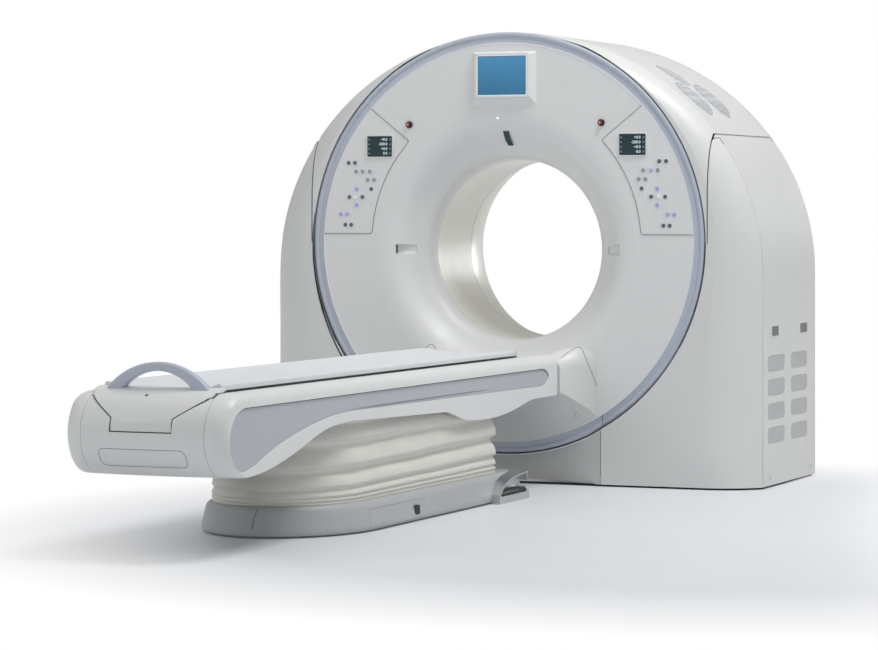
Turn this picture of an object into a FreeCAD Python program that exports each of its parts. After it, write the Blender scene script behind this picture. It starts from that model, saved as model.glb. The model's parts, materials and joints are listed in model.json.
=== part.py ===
"""A computed tomography scanner: a gantry with its spinning rotor, and the patient couch in front.

Frame: +Z up, +X to the right seen from the couch, +Y through the bore away from the couch.
The origin is on the floor under the isocentre, the middle of the gantry's anchor bolts.
"""
import FreeCAD, Part
import math
import os
import re
from types import SimpleNamespace

import Sketcher
from FreeCAD import Placement, Rotation, Vector

# ---------------------------------------------------------------- driving dimensions (mm, degrees)
SIZES = {
    # gantry: main sizes
    "iso_height": 1000, "bore_radius": 390, "slice_depth": 480, "gantry_depth": 960,
    "gantry_half_width": 1128, "spring_drop": 100, "arch_rise": 1038, "cover_wall": 5,
    "floor_gap": 8, "seam_gap": 3,
    # gantry: front disc, funnel and bevel ring
    "disc_radius": 858, "disc_lift": 33, "disc_rim_depth": 40,
    "mouth_radius": 600, "lip_radius": 512, "lip_depth": 22, "throat_radius": 452,
    "throat_depth": 80, "funnel_depth": 182, "liner_length": 376, "liner_wall": 4,
    "ring_dish": 24, "ring_rim": 22, "ring_depth": 20, "ring_flange": 5, "ring_gap": 6,
    "backing_reach": 16, "backing_thickness": 4, "backing_inset": 35,
    # gantry: front wings, toe and shoulders
    "shoulder_depth": 110, "wing_inner": 917, "wing_corner": 14, "neck_half_width": 451,
    "seam_lap": 20, "toe_reach": 31, "toe_recess": 134, "toe_headroom": 60,
    "side_rise": 476, "seam_rise": 495, "groove_depth": 5, "groove_lip": 3,
    "side_length": 756,
    # gantry: rear
    "rear_bevel": 60, "rear_mouth_radius": 560,
    # gantry: neck fairing
    "fairing_reach": 105, "fairing_saddle": 496, "fairing_root": 60, "fairing_play": 0.6,
    "plug_x": 340, "plug_z": 298, "plug_radius": 13,
    # gantry: side panels
    "vent_width": 240, "vent_height": 70, "vent_pitch": 101.5, "vent_low": 183,
    "vent_front": 176, "vent_rear": 508, "vent_slats": 5, "vent_radius": 20,
    # gantry: face controls, heights over the isocentre
    "panel_inner_radius": 625, "panel_rise": 68, "panel_corner_x": 447,
    "panel_outer_x": 628, "panel_round": 14, "panel_thickness": 1.5,
    "key_radius": 12.5, "key_height": 1.5,
    "display_width": 120, "display_height": 92, "display_x": 587, "display_rise": 449,
    "display_thickness": 3.5, "monitor_width": 246, "monitor_height": 190,
    "monitor_rise": 750, "monitor_depth": 30, "monitor_bezel": 7,
    "estop_x": 446, "estop_rise": 543, "estop_radius": 10.5, "estop_collar": 15,
    "estop_stem": 5.5,
    "scoop_radius": 521, "scoop_inner": 446, "scoop_depth": 46, "scoop_height": 44,
    # gantry: frame, stator and rotor
    "anchor_inset": 35, "anchor_hole": 9, "pad_radius": 60, "pad_height": 20,
    "frame_half_length": 1000, "frame_half_depth": 260, "frame_height": 90,
    "frame_rail": 150, "upright_width": 100, "upright_depth": 80, "upright_top": 1200,
    "rotor_inner": 440, "rotor_outer": 790, "rotor_plate": 25, "rotor_back": 90,
    "rotor_rim_depth": 195, "rotor_rim_wall": 20, "bearing_gap": 50, "race_outer": 545,
    "race_split": 500, "race_play": 2, "slip_inner": 560, "slip_outer": 640,
    "slip_thickness": 12, "magnet_outer": 720, "magnet_inner": 700, "coil_outer": 760,
    "air_gap": 3, "stator_thickness": 35, "tube_radius": 95, "tube_orbit": 650,
    "detector_inner": 560, "detector_outer": 640, "detector_span": 56,
    # couch: main sizes
    "couch_gap": 120, "couch_length": 3120, "couch_half_width": 310, "couch_wall": 14,
    "deck_top": 560, "shoulder_radius": 40, "foot_bow": 18, "corner_width": 62,
    "corner_depth": 50, "head_corner": 60, "barrel_radius": 144.7, "barrel_z": 418.4,
    "barrel_low": 275,
    # couch: lower edge of the body, heights and distances from the foot end
    "skirt_knee": 284, "skirt_knee_at": 305, "skirt_sweep": 348, "skirt_sweep_at": 616,
    "skirt_waist": 414, "skirt_waist_at": 1029, "skirt_mid": 392, "skirt_mid_at": 1905,
    "skirt_belly": 340, "skirt_belly_at": 2340, "skirt_head": 392, "skirt_head_at": 2840,
    # couch: inset side panels
    "inset_depth": 9, "inset_thickness": 4, "inset_top": 511, "inset_low": 440,
    "inset_foot_low": 296, "inset_from": 62, "inset_to": 2977, "inset_gap": 1.5,
    # couch: tabletop, its end cap and handle
    "tabletop_half_width": 225, "tabletop_rim": 590, "tabletop_edge": 22,
    "tabletop_sag": 38, "tabletop_wall": 20, "tabletop_foot_at": 167,
    "tabletop_length": 2908, "taper_length": 370, "taper_half_width": 150,
    "channel_half_width": 232, "tongue_half_width": 117, "tongue_low": 432,
    "tongue_step": 478, "tongue_shoulder": 209, "tongue_shoulder_z": 537,
    "tongue_hip": 229, "tongue_hip_z": 553, "tongue_brim": 241, "tongue_brim_z": 562.5,
    "tongue_gap": 2, "tongue_top": 578, "tongue_wall": 10, "tongue_barrel": 167.7,
    "cap_half_width": 235, "cap_depth": 172, "label_half_width": 147, "label_low": 318,
    "label_high": 374, "label_recess": 1.5, "keyhole_radius": 5,
    "handle_half_span": 198, "handle_rise": 84, "handle_foot": 66, "handle_crown": 31,
    "handle_depth": 34, "handle_at": 141, "handle_seat": 8,
    # couch: frame, rails and lift
    "plate_low": 412, "plate_thickness": 12, "plate_half_width": 285,
    "plate_from": 910, "plate_to": 2480, "beam_inner": 135, "beam_outer": 195,
    "beam_top": 478, "deck_low": 496, "deck_thickness": 4, "trough_from": 172,
    "trough_to": 1500, "trough_gap": 3, "trough_wall": 4, "trough_flange": 25,
    "rail_inner": 150, "rail_outer": 175, "rail_low": 514, "rail_play": 0.6,
    "rail_from": 200, "pad_wall": 9, "glide_height": 20, "glide_length": 120,
    "glide_first": 1530, "glide_second": 2150, "glide_from_head": 200,
    "column_foot_at": 1290, "column_head_at": 2090, "column_size": 200, "column_wall": 8,
    "column_play": 2, "column_lower": 260,
    # couch: plinth, door, pedals and bellows
    "plinth_half_width": 327, "plinth_height": 112, "plinth_roll": 40,
    "plinth_foot_at": 777, "plinth_end_reach": 437, "plinth_top_reach": 425,
    "plinth_head_at": 2675, "plinth_corner": 60, "plinth_gap": 8, "plinth_foot_inset": 20,
    "door_from": 1155, "door_to": 1660, "door_low": 12, "door_high": 82,
    "latch_from": 1548, "latch_width": 50, "latch_low": 26, "latch_high": 62,
    "pedal_from": 2300, "pedal_to": 2612,
    "pedal_reach": 38, "pedal_plate": 30, "pedal_hood": 115,
    "bellows_half_width": 284, "bellows_foot_at": 812, "bellows_head_at": 2480,
    "bellows_end_reach": 380, "bellows_corner": 34, "bellows_depth": 24, "bellows_wall": 3,
}

doc = FreeCAD.newDocument("scanner")
sheet = doc.addObject("Spreadsheet::Sheet", "Sizes")
for row, (alias, number) in enumerate(SIZES.items(), 1):
    sheet.set(f"A{row}", alias)
    sheet.set(f"B{row}", str(number))
    sheet.setAlias(f"B{row}", alias)
doc.recompute()
v = SimpleNamespace(**{alias: float(sheet.get(alias)) for alias in SIZES})

# places along Y that many pieces share
v.face = -v.slice_depth
v.shoulder = v.face + v.shoulder_depth
v.side_end = v.shoulder + v.side_length
v.rear = v.gantry_depth - v.slice_depth
v.couch_head = v.face - v.couch_gap
v.couch_foot = v.couch_head - v.couch_length
v.disc_z = v.iso_height + v.disc_lift
v.arch_spring = v.iso_height - v.spring_drop
v.side_top = v.iso_height + v.side_rise
v.roof_seam = v.iso_height + v.seam_rise
v.panel_low = v.iso_height + v.panel_rise
v.monitor_z = v.iso_height + v.monitor_rise
v.ring_outer = v.disc_radius + v.ring_dish + v.ring_rim + 1
v.ring_hole = v.ring_outer + v.ring_gap
v.tongue_z = v.tongue_top - v.tongue_barrel
v.toe_top = v.disc_z - math.sqrt(v.ring_hole ** 2 - v.neck_half_width ** 2) + v.toe_headroom
ANCHOR_X = "(frame_half_length - pad_radius)"
ANCHOR_Y = "(frame_half_depth - anchor_inset)"

PARTS = []


def keep(item, label):
    """Give a finished sub-part its name."""
    item.Label = label
    PARTS.append(item)
    return item


# ---------------------------------------------------------------- helpers: bound primitives
def formula(text):
    """Write the sheet's name in front of each alias in an expression."""
    return re.sub(r"[a-z_]+", lambda word: "Sizes." + word.group() if word.group() in SIZES
                  else word.group(), str(text))


def bind(item, **formulas):
    """Bind properties to the sheet; a double underscore stands for a dot."""
    for name, text in formulas.items():
        item.setExpression(name.replace("__", "."), formula(text))


def place(item, x="0", y="0", z="0"):
    bind(item, Placement__Base__x=x, Placement__Base__y=y, Placement__Base__z=z)


def box(name, x, y, z, width, depth, height):
    """A box from its lowest corner, all in formulas."""
    item = doc.addObject("Part::Box", name)
    bind(item, Length=width, Width=depth, Height=height)
    place(item, x, y, z)
    return item


TURN = {"x": Rotation(Vector(0, 1, 0), 90), "y": Rotation(Vector(1, 0, 0), -90),
        "z": Rotation()}


def rod(name, axis, x, y, z, radius, length):
    """A cylinder along an axis, from its lower end."""
    item = doc.addObject("Part::Cylinder", name)
    item.Placement = Placement(Vector(), TURN[axis])
    bind(item, Radius=radius, Height=length)
    place(item, x, y, z)
    return item


def cut(name, base, *tools):
    for index, tool in enumerate(tools):
        result = doc.addObject("Part::Cut", f"{name}_cut{index}")
        result.Base = base
        result.Tool = tool
        base = result
    return base


def fuse(name, *items):
    result = doc.addObject("Part::MultiFuse", name)
    result.Shapes = list(items)
    result.Refine = True
    return result


def group(name, *items):
    """Separate solids that share one name."""
    result = doc.addObject("Part::Compound", name)
    result.Links = list(items)
    return result


def mirror_x(name, source):
    result = doc.addObject("Part::Mirroring", name)
    result.Source = source
    result.Normal = Vector(1, 0, 0)
    return result


# ---------------------------------------------------------------- helpers: sketched bodies
def sketch_on(body, role, name):
    plane = [item for item in body.Origin.OriginFeatures if item.Role == role][0]
    sketch = body.newObject("Sketcher::SketchObject", name)
    sketch.AttachmentSupport = [(plane, "")]
    sketch.MapMode = "FlatFace"
    return sketch


def fix_point(sketch, geometry, end, x, y):
    """Hold a point of a sketch at two formulas."""
    for kind, text in (("DistanceX", x), ("DistanceY", y)):
        index = sketch.addConstraint(Sketcher.Constraint(kind, -1, 1, geometry, end, 1.0))
        sketch.setExpression(f"Constraints[{index}]", formula(text))


def outline(sketch, points):
    """A closed polygon whose corners are pairs of formulas."""
    count = len(points)
    first = sketch.GeometryCount
    for index in range(count):
        turn = 2 * math.pi * index / count
        after = 2 * math.pi * (index + 1) / count
        sketch.addGeometry(Part.LineSegment(Vector(math.cos(turn), math.sin(turn), 0),
                                            Vector(math.cos(after), math.sin(after), 0)))
    for index in range(count):
        following = first + (index + 1) % count
        sketch.addConstraint(Sketcher.Constraint("Coincident", first + index, 2, following, 1))
    for index, (x, y) in enumerate(points):
        fix_point(sketch, first + index, 1, x, y)


def circle(sketch, x, y, radius):
    index = sketch.addGeometry(Part.Circle(Vector(0, 0, 0), Vector(0, 0, 1), 1.0))
    limit = sketch.addConstraint(Sketcher.Constraint("Radius", index, 1.0))
    sketch.setExpression(f"Constraints[{limit}]", formula(radius))
    fix_point(sketch, index, 3, x, y)


def sketched_body(name):
    return doc.addObject("PartDesign::Body", name)


def pad(body, sketch, length, backwards=False):
    feature = body.newObject("PartDesign::Pad", body.Name + "_pad")
    feature.Profile = sketch
    feature.Reversed = backwards
    bind(feature, Length=length)
    return feature


def turned(name, points, height="iso_height"):
    """A ring about the bore's axis from a section in (Y, radius) formulas."""
    body = sketched_body(name)
    sketch = sketch_on(body, "YZ_Plane", name + "_section")
    outline(sketch, points)
    feature = body.newObject("PartDesign::Revolution", name + "_turn")
    feature.Profile = sketch
    feature.ReferenceAxis = (sketch, ["H_Axis"])
    feature.Angle = 360
    place(body, z=height)
    return body


# ---------------------------------------------------------------- helpers: curved forms
def shaped(name, shape):
    """A sub-part whose form comes from curves and surfaces below."""
    item = doc.addObject("Part::Feature", name)
    item.Shape = shape
    return item


def joined(edges):
    return Part.Wire(Part.__sortEdges__(edges))


def line(start, end):
    return Part.makeLine(start, end)


def polygon(points):
    return Part.makePolygon(list(points) + [points[0]])


def arc(start, middle, end):
    return Part.Arc(start, middle, end).toShape()


def curve(points, start_way=None, end_way=None):
    """A smooth curve through points, with end directions where they matter."""
    spline = Part.BSplineCurve()
    if start_way is None:
        spline.interpolate(points)
    else:
        spline.interpolate(Points=points, InitialTangent=start_way, FinalTangent=end_way)
    return spline


def quarter(start, corner, end):
    """An exact quarter ellipse from start to end, bulging to the corner."""
    bezier = Part.BezierCurve()
    bezier.setPoles([start, corner, end])
    bezier.setWeight(2, math.sqrt(0.5))
    return bezier.toShape()


def prism(wire, way):
    return Part.Face(wire).extrude(way)


def block(x0, y0, z0, x1, y1, z1):
    return Part.makeBox(x1 - x0, y1 - y0, z1 - z0, Vector(x0, y0, z0))


def drum(radius, z, y0, y1):
    """A solid cylinder along the bore, centred at height z."""
    return Part.makeCylinder(radius, y1 - y0, Vector(0, y0, z), Vector(0, 1, 0))


def reflected(shape):
    return shape.mirror(Vector(0, 0, 0), Vector(1, 0, 0))


# ---------------------------------------------------------------- gantry: steel frame
def floor_pads():
    pads = []
    for index, (x, y) in enumerate((("-", "-"), ("-", ""), ("", "-"), ("", ""))):
        at_x, at_y = x + ANCHOR_X, y + ANCHOR_Y
        pad_disc = rod(f"pad{index}", "z", at_x, at_y, "0", "pad_radius", "pad_height")
        hole = rod(f"pad_hole{index}", "z", at_x, at_y, "-1", "anchor_hole", "pad_height + 2")
        pads.append(cut(f"pad{index}", pad_disc, hole))
    keep(group("pads", *pads), "floor_pads")


def gantry_base_frame():
    body = sketched_body("base_frame")
    plan = sketch_on(body, "XY_Plane", "base_plan")
    outer_x, outer_y = "frame_half_length", "frame_half_depth"
    outline(plan, [("-" + outer_x, "-" + outer_y), (outer_x, "-" + outer_y),
                   (outer_x, outer_y), ("-" + outer_x, outer_y)])
    inner_x, inner_y = outer_x + " - frame_rail", outer_y + " - frame_rail / 2"
    outline(plan, [(f"-({inner_x})", f"-({inner_y})"), (inner_x, f"-({inner_y})"),
                   (inner_x, inner_y), (f"-({inner_x})", inner_y)])
    for sign_x in ("-", ""):
        for sign_y in ("-", ""):
            circle(plan, sign_x + ANCHOR_X, sign_y + ANCHOR_Y, "anchor_hole")
    pad(body, plan, "frame_height")
    place(body, z="pad_height")
    keep(body, "gantry_base_frame")


def stator():
    """The fixed plate that carries the bearing, and the uprights behind it."""
    body = sketched_body("stator")
    front = sketch_on(body, "XZ_Plane", "stator_outline")
    half, foot, top = "frame_half_length - 40", "pad_height + frame_height", "upright_top"
    crown, crown_half = "iso_height + rotor_outer - 30", "rotor_outer * 0.6"
    outline(front, [(f"-({half})", foot), (half, foot), (half, top), (crown_half, crown),
                    (f"-{crown_half}", crown), (f"-({half})", top)])
    circle(front, "0", "iso_height", "rotor_inner - 5")
    pad(body, front, "stator_thickness")
    place(body, y="rotor_back + bearing_gap + stator_thickness")
    keep(body, "stator_plate")

    back = "rotor_back + bearing_gap + stator_thickness"
    height = "upright_top - pad_height - frame_height"
    right = box("upright", "frame_half_length - 50 - upright_width", back,
                "pad_height + frame_height", "upright_width", "upright_depth", height)
    keep(group("upright_pair", right, mirror_x("upright_mirror", right)), "uprights")


def bearing():
    outer_face = "rotor_back + bearing_gap"
    outer = turned("outer_race", [("rotor_back + 0.5", "race_split"), (outer_face, "race_split"),
                                  (outer_face, "race_outer"), ("rotor_back + 0.5", "race_outer")])
    keep(outer, "bearing_outer_race")
    inner_top = "race_split - race_play"
    inner = turned("inner_race", [("rotor_back", "rotor_inner + 10"),
                                  (outer_face + " - 0.5", "rotor_inner + 10"),
                                  (outer_face + " - 0.5", inner_top), ("rotor_back", inner_top)])
    keep(inner, "bearing_inner_race")


def ring_motor():
    """Magnets on the rotor's back run inside the coils on the stator."""
    magnets = turned("magnets", [("rotor_back", "magnet_inner"),
                                 ("rotor_back + bearing_gap - 10", "magnet_inner"),
                                 ("rotor_back + bearing_gap - 10", "magnet_outer"),
                                 ("rotor_back", "magnet_outer")])
    keep(magnets, "motor_magnet_ring")
    coils = turned("coils", [("rotor_back + 5", "magnet_outer + air_gap"),
                             ("rotor_back + bearing_gap", "magnet_outer + air_gap"),
                             ("rotor_back + bearing_gap", "coil_outer"),
                             ("rotor_back + 5", "coil_outer")])
    keep(coils, "motor_stator_ring")


def slip_ring():
    """Tracks on the rotor's back, read by a brush block on the stator."""
    grooves = 4
    pitch = "(slip_outer - slip_inner) / %d" % (2 * grooves + 1)
    points = [("rotor_back", "slip_inner")]
    for index in range(grooves + 1):
        low, high = f"slip_inner + {pitch} * {2 * index}", f"slip_inner + {pitch} * {2 * index + 1}"
        points.append(("rotor_back + slip_thickness", low))
        points.append(("rotor_back + slip_thickness", high))
        if index < grooves:
            after = f"slip_inner + {pitch} * {2 * index + 2}"
            points.append(("rotor_back + slip_thickness - 5", high))
            points.append(("rotor_back + slip_thickness - 5", after))
    points.append(("rotor_back", "slip_outer"))
    keep(turned("slip_tracks", points), "slip_ring")
    gap = "rotor_back + slip_thickness + 1"
    block_body = box("brush_body", "-60", gap, "iso_height + slip_inner", "120",
                     "bearing_gap - slip_thickness - 1", "slip_outer - slip_inner")
    keep(block_body, "slip_brush_block")


def rotor_drum():
    front, web = "rotor_back - rotor_plate", "rotor_back - rotor_plate - rotor_rim_depth"
    rim_inner = "rotor_outer - rotor_rim_wall"
    drum_body = turned("drum", [("rotor_back", "rotor_inner"), (front, "rotor_inner"),
                                (front, rim_inner), (web, rim_inner),
                                (web, "rotor_outer"), ("rotor_back", "rotor_outer")])
    keep(drum_body, "rotor_drum")


def xray_tube():
    """The tube housing with its end caps and the port that faces the bore."""
    seat = "rotor_back - rotor_plate"
    housing = turned("tube_body", [("-90", "0"), ("-90", "tube_radius - 30"),
                                   ("-75", "tube_radius - 10"), ("-60", "tube_radius"),
                                   (seat + " - 15", "tube_radius"), (seat, "tube_radius - 15"),
                                   (seat, "0")], "iso_height + tube_orbit")
    port = box("tube_port", "-45", "-40", "iso_height + tube_orbit - tube_radius - 8",
               "90", "80", "tube_radius")
    keep(fuse("tube_housing", housing, port), "xray_tube")
    top = "iso_height + tube_orbit - tube_radius - 8"
    jaws = box("jaws", "-70", "-50", top + " - 62", "140", seat + " + 50", "62")
    slot = box("jaw_slot", "-50", "-5", top + " - 63", "100", "10", "64")
    keep(cut("collimator_body", jaws, slot), "collimator")


def ring_sector(inner, outer, y0, y1, z, middle, span):
    """Part of a ring about the bore; angles in degrees from straight up towards +X."""
    lead, trail = math.radians(middle - span / 2), math.radians(middle + span / 2)
    centre = math.radians(middle)

    def at(radius, angle):
        return Vector(radius * math.sin(angle), y0, z + radius * math.cos(angle))

    edges = [arc(at(outer, lead), at(outer, centre), at(outer, trail)),
             line(at(outer, trail), at(inner, trail)),
             arc(at(inner, trail), at(inner, centre), at(inner, lead)),
             line(at(inner, lead), at(outer, lead))]
    return prism(joined(edges), Vector(0, y1 - y0, 0))


def rotor_load():
    """The detector opposite the tube, the two power boxes and the balance weights."""
    seat = v.rotor_back - v.rotor_plate
    crate = ring_sector(v.detector_inner, v.detector_outer, -40, seat, v.iso_height, 180,
                        v.detector_span)
    window = ring_sector(v.detector_inner - 1, v.detector_inner + 12, -20, 20, v.iso_height,
                         180, v.detector_span - 3)
    keep(shaped("detectors", crate.cut(window)), "detector_arc")
    for name, angle in (("hv_generator", 75), ("power_unit", -75)):
        case = block(-150, -100, v.iso_height + 530, 150, seat, v.iso_height + 730)
        case = case.makeFillet(12, [edge for edge in case.Edges if edge.BoundBox.YLength < 1])
        case.rotate(Vector(0, 0, v.iso_height), Vector(0, 1, 0), angle)
        keep(shaped(name + "_case", case), name)
    weights = [ring_sector(600, v.rotor_outer - v.rotor_rim_wall - 10, -60, seat,
                           v.iso_height, angle, 22) for angle in (125, -125)]
    keep(shaped("weights", Part.makeCompound(weights)), "counterweight")


# ---------------------------------------------------------------- gantry: disc, funnel and liner
def funnel_profile():
    """The front funnel as (radius, depth) points, from the flat disc to the bore."""
    return [(v.mouth_radius, 0), (v.lip_radius, v.lip_depth),
            (v.throat_radius, v.throat_depth), (v.bore_radius, v.funnel_depth)]


def rear_profile():
    """The rear funnel, from the liner's end to the back cover."""
    start = v.funnel_depth + v.liner_length + 2
    rest = v.gantry_depth - start
    flare = v.rear_mouth_radius - v.bore_radius
    return [(v.bore_radius, start), (v.bore_radius + flare * 0.10, start + rest * 0.34),
            (v.bore_radius + flare * 0.37, start + rest * 0.72),
            (v.bore_radius + flare * 0.72, start + rest * 0.92),
            (v.rear_mouth_radius, v.gantry_depth - 2)]


def profile_curve(points, first_way, last_way, shift=0.0):
    """The profile in the YZ plane, moved away from the bore by shift."""
    base = curve([Vector(0, v.face + depth, v.iso_height + radius) for radius, depth in points],
                 first_way, last_way)
    if not shift:
        return base
    moved = []
    for radius, depth in points:
        spot = Vector(0, v.face + depth, v.iso_height + radius)
        along = base.tangent(base.parameter(spot))[0]
        outwards = Vector(0, -along.z, along.y)
        if outwards.z < 0:
            outwards = -outwards
        moved.append(spot + outwards * shift)
    return curve(moved, first_way, last_way)


def turned_skin(points, first_way, last_way, wall, lift=0.0, span=360.0, start=0.0):
    """A thin shell of revolution about the bore's axis along a profile."""
    near = profile_curve(points, first_way, last_way, lift)
    far = profile_curve(points, first_way, last_way, lift + wall)
    edges = [near.toShape(), far.toShape(), line(near.StartPoint, far.StartPoint),
             line(near.EndPoint, far.EndPoint)]
    face = Part.Face(joined(edges))
    axis_at = Vector(0, 0, v.iso_height)
    if start:
        face.rotate(axis_at, Vector(0, 1, 0), start)
    return face.revolve(axis_at, Vector(0, 1, 0), span)


INWARD = Vector(0, 0.02, -1)
ALONG_BORE = Vector(0, 1, -0.02)
FLARING = Vector(0, 0.35, 1)


def funnel_cavity(forward):
    """The open space in front of the front funnel, shifted towards the couch."""
    front = profile_curve(funnel_profile(), INWARD, ALONG_BORE)
    start, end = front.StartPoint, front.EndPoint
    axis = v.iso_height
    ahead, deep = v.face - 10, v.face + v.funnel_depth
    edges = [front.toShape(), line(end, Vector(0, deep, axis)),
             line(Vector(0, deep, axis), Vector(0, ahead, axis)),
             line(Vector(0, ahead, axis), Vector(0, ahead, start.z)),
             line(Vector(0, ahead, start.z), start)]
    solid = Part.Face(joined(edges)).revolve(Vector(0, 0, axis), Vector(0, 1, 0), 360)
    solid.translate(Vector(0, -forward, 0))
    return solid


def scoop_prism(grow):
    """The wedge hollowed out of the funnel beside a laser window, on the right."""
    half = v.scoop_height / 2 + grow
    outer, inner = v.scoop_radius + grow, v.scoop_inner
    deep = v.face + v.scoop_depth + grow * 1.3
    corners = [(outer, v.face), (outer, deep), (inner, deep + v.scoop_depth), (inner, v.face)]
    wedge = prism(polygon([Vector(x, y, v.iso_height - half) for x, y in corners]),
                  Vector(0, 0, 2 * half))
    return wedge.makeFillet(half * 0.72, [edge for edge in wedge.Edges
                                          if edge.BoundBox.ZLength < 1e-3
                                          and edge.BoundBox.YMin > deep - 1])


def front_disc_cover():
    wall = v.cover_wall
    plate = drum(v.disc_radius, v.disc_z, v.face, v.face + wall)
    plate = plate.cut(drum(v.mouth_radius, v.iso_height, v.face - 1, v.face + wall + 1))
    rim = drum(v.disc_radius, v.disc_z, v.face, v.face + v.disc_rim_depth)
    rim = rim.cut(drum(v.disc_radius - wall, v.disc_z, v.face - 1, v.face + v.disc_rim_depth + 1))
    funnel = turned_skin(funnel_profile(), INWARD, ALONG_BORE, wall)
    scoop, pocket = scoop_prism(0), scoop_prism(wall - 1).cut(funnel_cavity(0))
    disc = plate.fuse([rim, funnel, pocket, reflected(pocket)])
    disc = disc.cut(scoop).cut(reflected(scoop))
    keep(shaped("disc", disc), "front_disc_cover")


def bore_liner():
    start = "-slice_depth + funnel_depth + 1"
    end = "-slice_depth + funnel_depth + liner_length"
    outer = "bore_radius + liner_wall"
    keep(turned("liner", [(start, "bore_radius"), (end, "bore_radius"), (end, outer),
                          (start, outer)]), "bore_liner")


def rear_funnel():
    shell = turned_skin(rear_profile(), Vector(0, 1, 0.02), FLARING, v.cover_wall)
    keep(shaped("rear_cone", shell), "rear_funnel")


def bevel_ring():
    """The coloured ring round the disc: a shallow dish, then a rounded rim and its flange."""
    inner, outer = v.disc_radius, v.ring_outer
    dish, back = inner + v.ring_dish, v.ring_depth

    def at(radius, depth):
        return Vector(0, v.face + depth, v.disc_z + radius)

    edges = [arc(at(inner, 0.8), at(inner + v.ring_dish * 0.55, 3.6), at(dish, 5.5)),
             arc(at(dish, 5.5), at(dish + v.ring_rim * 0.5, -1.5), at(outer - 1, 3.5)),
             line(at(outer - 1, 3.5), at(outer, back)),
             line(at(outer, back), at(outer - v.ring_flange, back)),
             line(at(outer - v.ring_flange, back), at(outer - v.ring_flange - 1, 9)),
             line(at(outer - v.ring_flange - 1, 9), at(inner + 4, 9)),
             line(at(inner + 4, 9), at(inner + 4, back + 2)),
             line(at(inner + 4, back + 2), at(inner, back + 2)),
             line(at(inner, back + 2), at(inner, 0.8))]
    ring = Part.Face(joined(edges)).revolve(Vector(0, 0, v.disc_z), Vector(0, 1, 0), 360)
    front, rear = v.face - 5, v.face + back + 5
    seam, gap = v.neck_half_width, v.seam_gap / 2
    low = block(-seam + gap, front, 0, seam - gap, rear, v.iso_height)
    high = block(-seam - gap, front, 0, seam + gap, rear, v.iso_height)
    upper = ring.fuse(ring_backing()).cut(high)
    keep(shaped("ring", Part.makeCompound([upper, ring.common(low)])), "ring_trim")


def ring_backing():
    """The ring's flange behind the gap to the wings and the roof, inside the arch."""
    back = v.face + v.ring_depth
    front = back - v.backing_thickness
    plate = drum(v.ring_outer + v.backing_reach, v.disc_z, front, back)
    plate = plate.cut(drum(v.ring_outer - v.ring_flange, v.disc_z, front - 1, back + 1))
    inset = v.backing_inset
    arch = arch_wire(v.gantry_half_width - inset, v.arch_spring, v.arch_rise - inset,
                     front - 1, 0)
    return plate.common(prism(arch, Vector(0, v.backing_thickness + 2, 0)))


# ---------------------------------------------------------------- gantry: outer covers
def arch_wire(half, spring, rise, y, bottom):
    """The gantry's outline from the front: straight sides under a half ellipse."""
    top = spring + rise
    return joined([line(Vector(-half, y, bottom), Vector(-half, y, spring)),
                   quarter(Vector(-half, y, spring), Vector(-half, y, top), Vector(0, y, top)),
                   quarter(Vector(0, y, top), Vector(half, y, top), Vector(half, y, spring)),
                   line(Vector(half, y, spring), Vector(half, y, bottom)),
                   line(Vector(half, y, bottom), Vector(-half, y, bottom))])


# share of the spring line's height, lean of the seam, place of the corner beside the ring,
# lean of the corner and depth of the bend, from the floor up
LEG = [(0.0, 1.0, -13, 0.55, 25), (0.25, 0.8, -7, 0.42, 30), (0.5, 0.4, 0, 0.26, 34),
       (0.75, 0.1, 20, 0.1, 38)]
LEG_BEND = 0.628


def leg_station(share, seam_lean, beside, corner_lean, bend_depth):
    """The right leg's front at one level: seam, corner, bend and shoulder."""
    height = v.arch_spring * share

    def at(x, depth):
        return Vector(x, v.face + depth, height)

    beyond = max(0, v.ring_hole ** 2 - (v.disc_z - height) ** 2)
    seam = max(v.neck_half_width - v.seam_lap, math.sqrt(beyond) - 16)
    corner = v.ring_outer + beside
    bend = corner + (v.gantry_half_width - corner) * LEG_BEND
    return [at(seam, -v.toe_reach * seam_lean), at(corner, -v.toe_reach * corner_lean),
            at(bend, bend_depth), at(v.gantry_half_width, v.shoulder_depth)], Vector(-1, 0, 0)


def arch_station(turn):
    """The front's section at a place round the arch, turn degrees above the spring line."""
    angle = math.radians(turn)
    half, rise = v.gantry_half_width, v.arch_rise
    outer = Vector(half * math.cos(angle), v.shoulder, v.arch_spring + rise * math.sin(angle))
    seat = v.ring_hole - 14
    dip = math.asin((v.disc_z - v.arch_spring) / seat)
    swing = -dip + angle * (math.pi / 2 + dip) / (math.pi / 2)
    inner = Vector(seat * math.cos(swing), v.face - 1, v.disc_z + seat * math.sin(swing))
    corner = inner + (outer - inner) * 0.26
    bend = inner + (outer - inner) * 0.716
    corner.y, bend.y = v.face + 2, v.face + 42
    inward = Vector(-math.cos(angle) * rise, 0, -math.sin(angle) * half).normalize()
    return [inner, corner, bend, outer], inward


def arch_stations():
    """Sections from the floor up the right leg and over the arch to its top."""
    legs = [leg_station(*level) for level in LEG]
    return legs + [arch_station(turn) for turn in (0, 10, 22, 34, 46, 58, 70, 80, 90)]


def front_section(station):
    """One closed section of the front, run on a little past the arch and the shoulder."""
    (inner, corner, bend, outer), inward = station
    past = Vector(0, 8, 0)
    outer = outer + (Vector(0, 1.6, 0) - inward) * 8
    base = Vector(inner.x, outer.y, inner.z)
    return joined([line(inner, corner), arc(corner, bend, outer), line(outer, outer + past),
                   line(outer + past, base + past), line(base + past, inner)])


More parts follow.
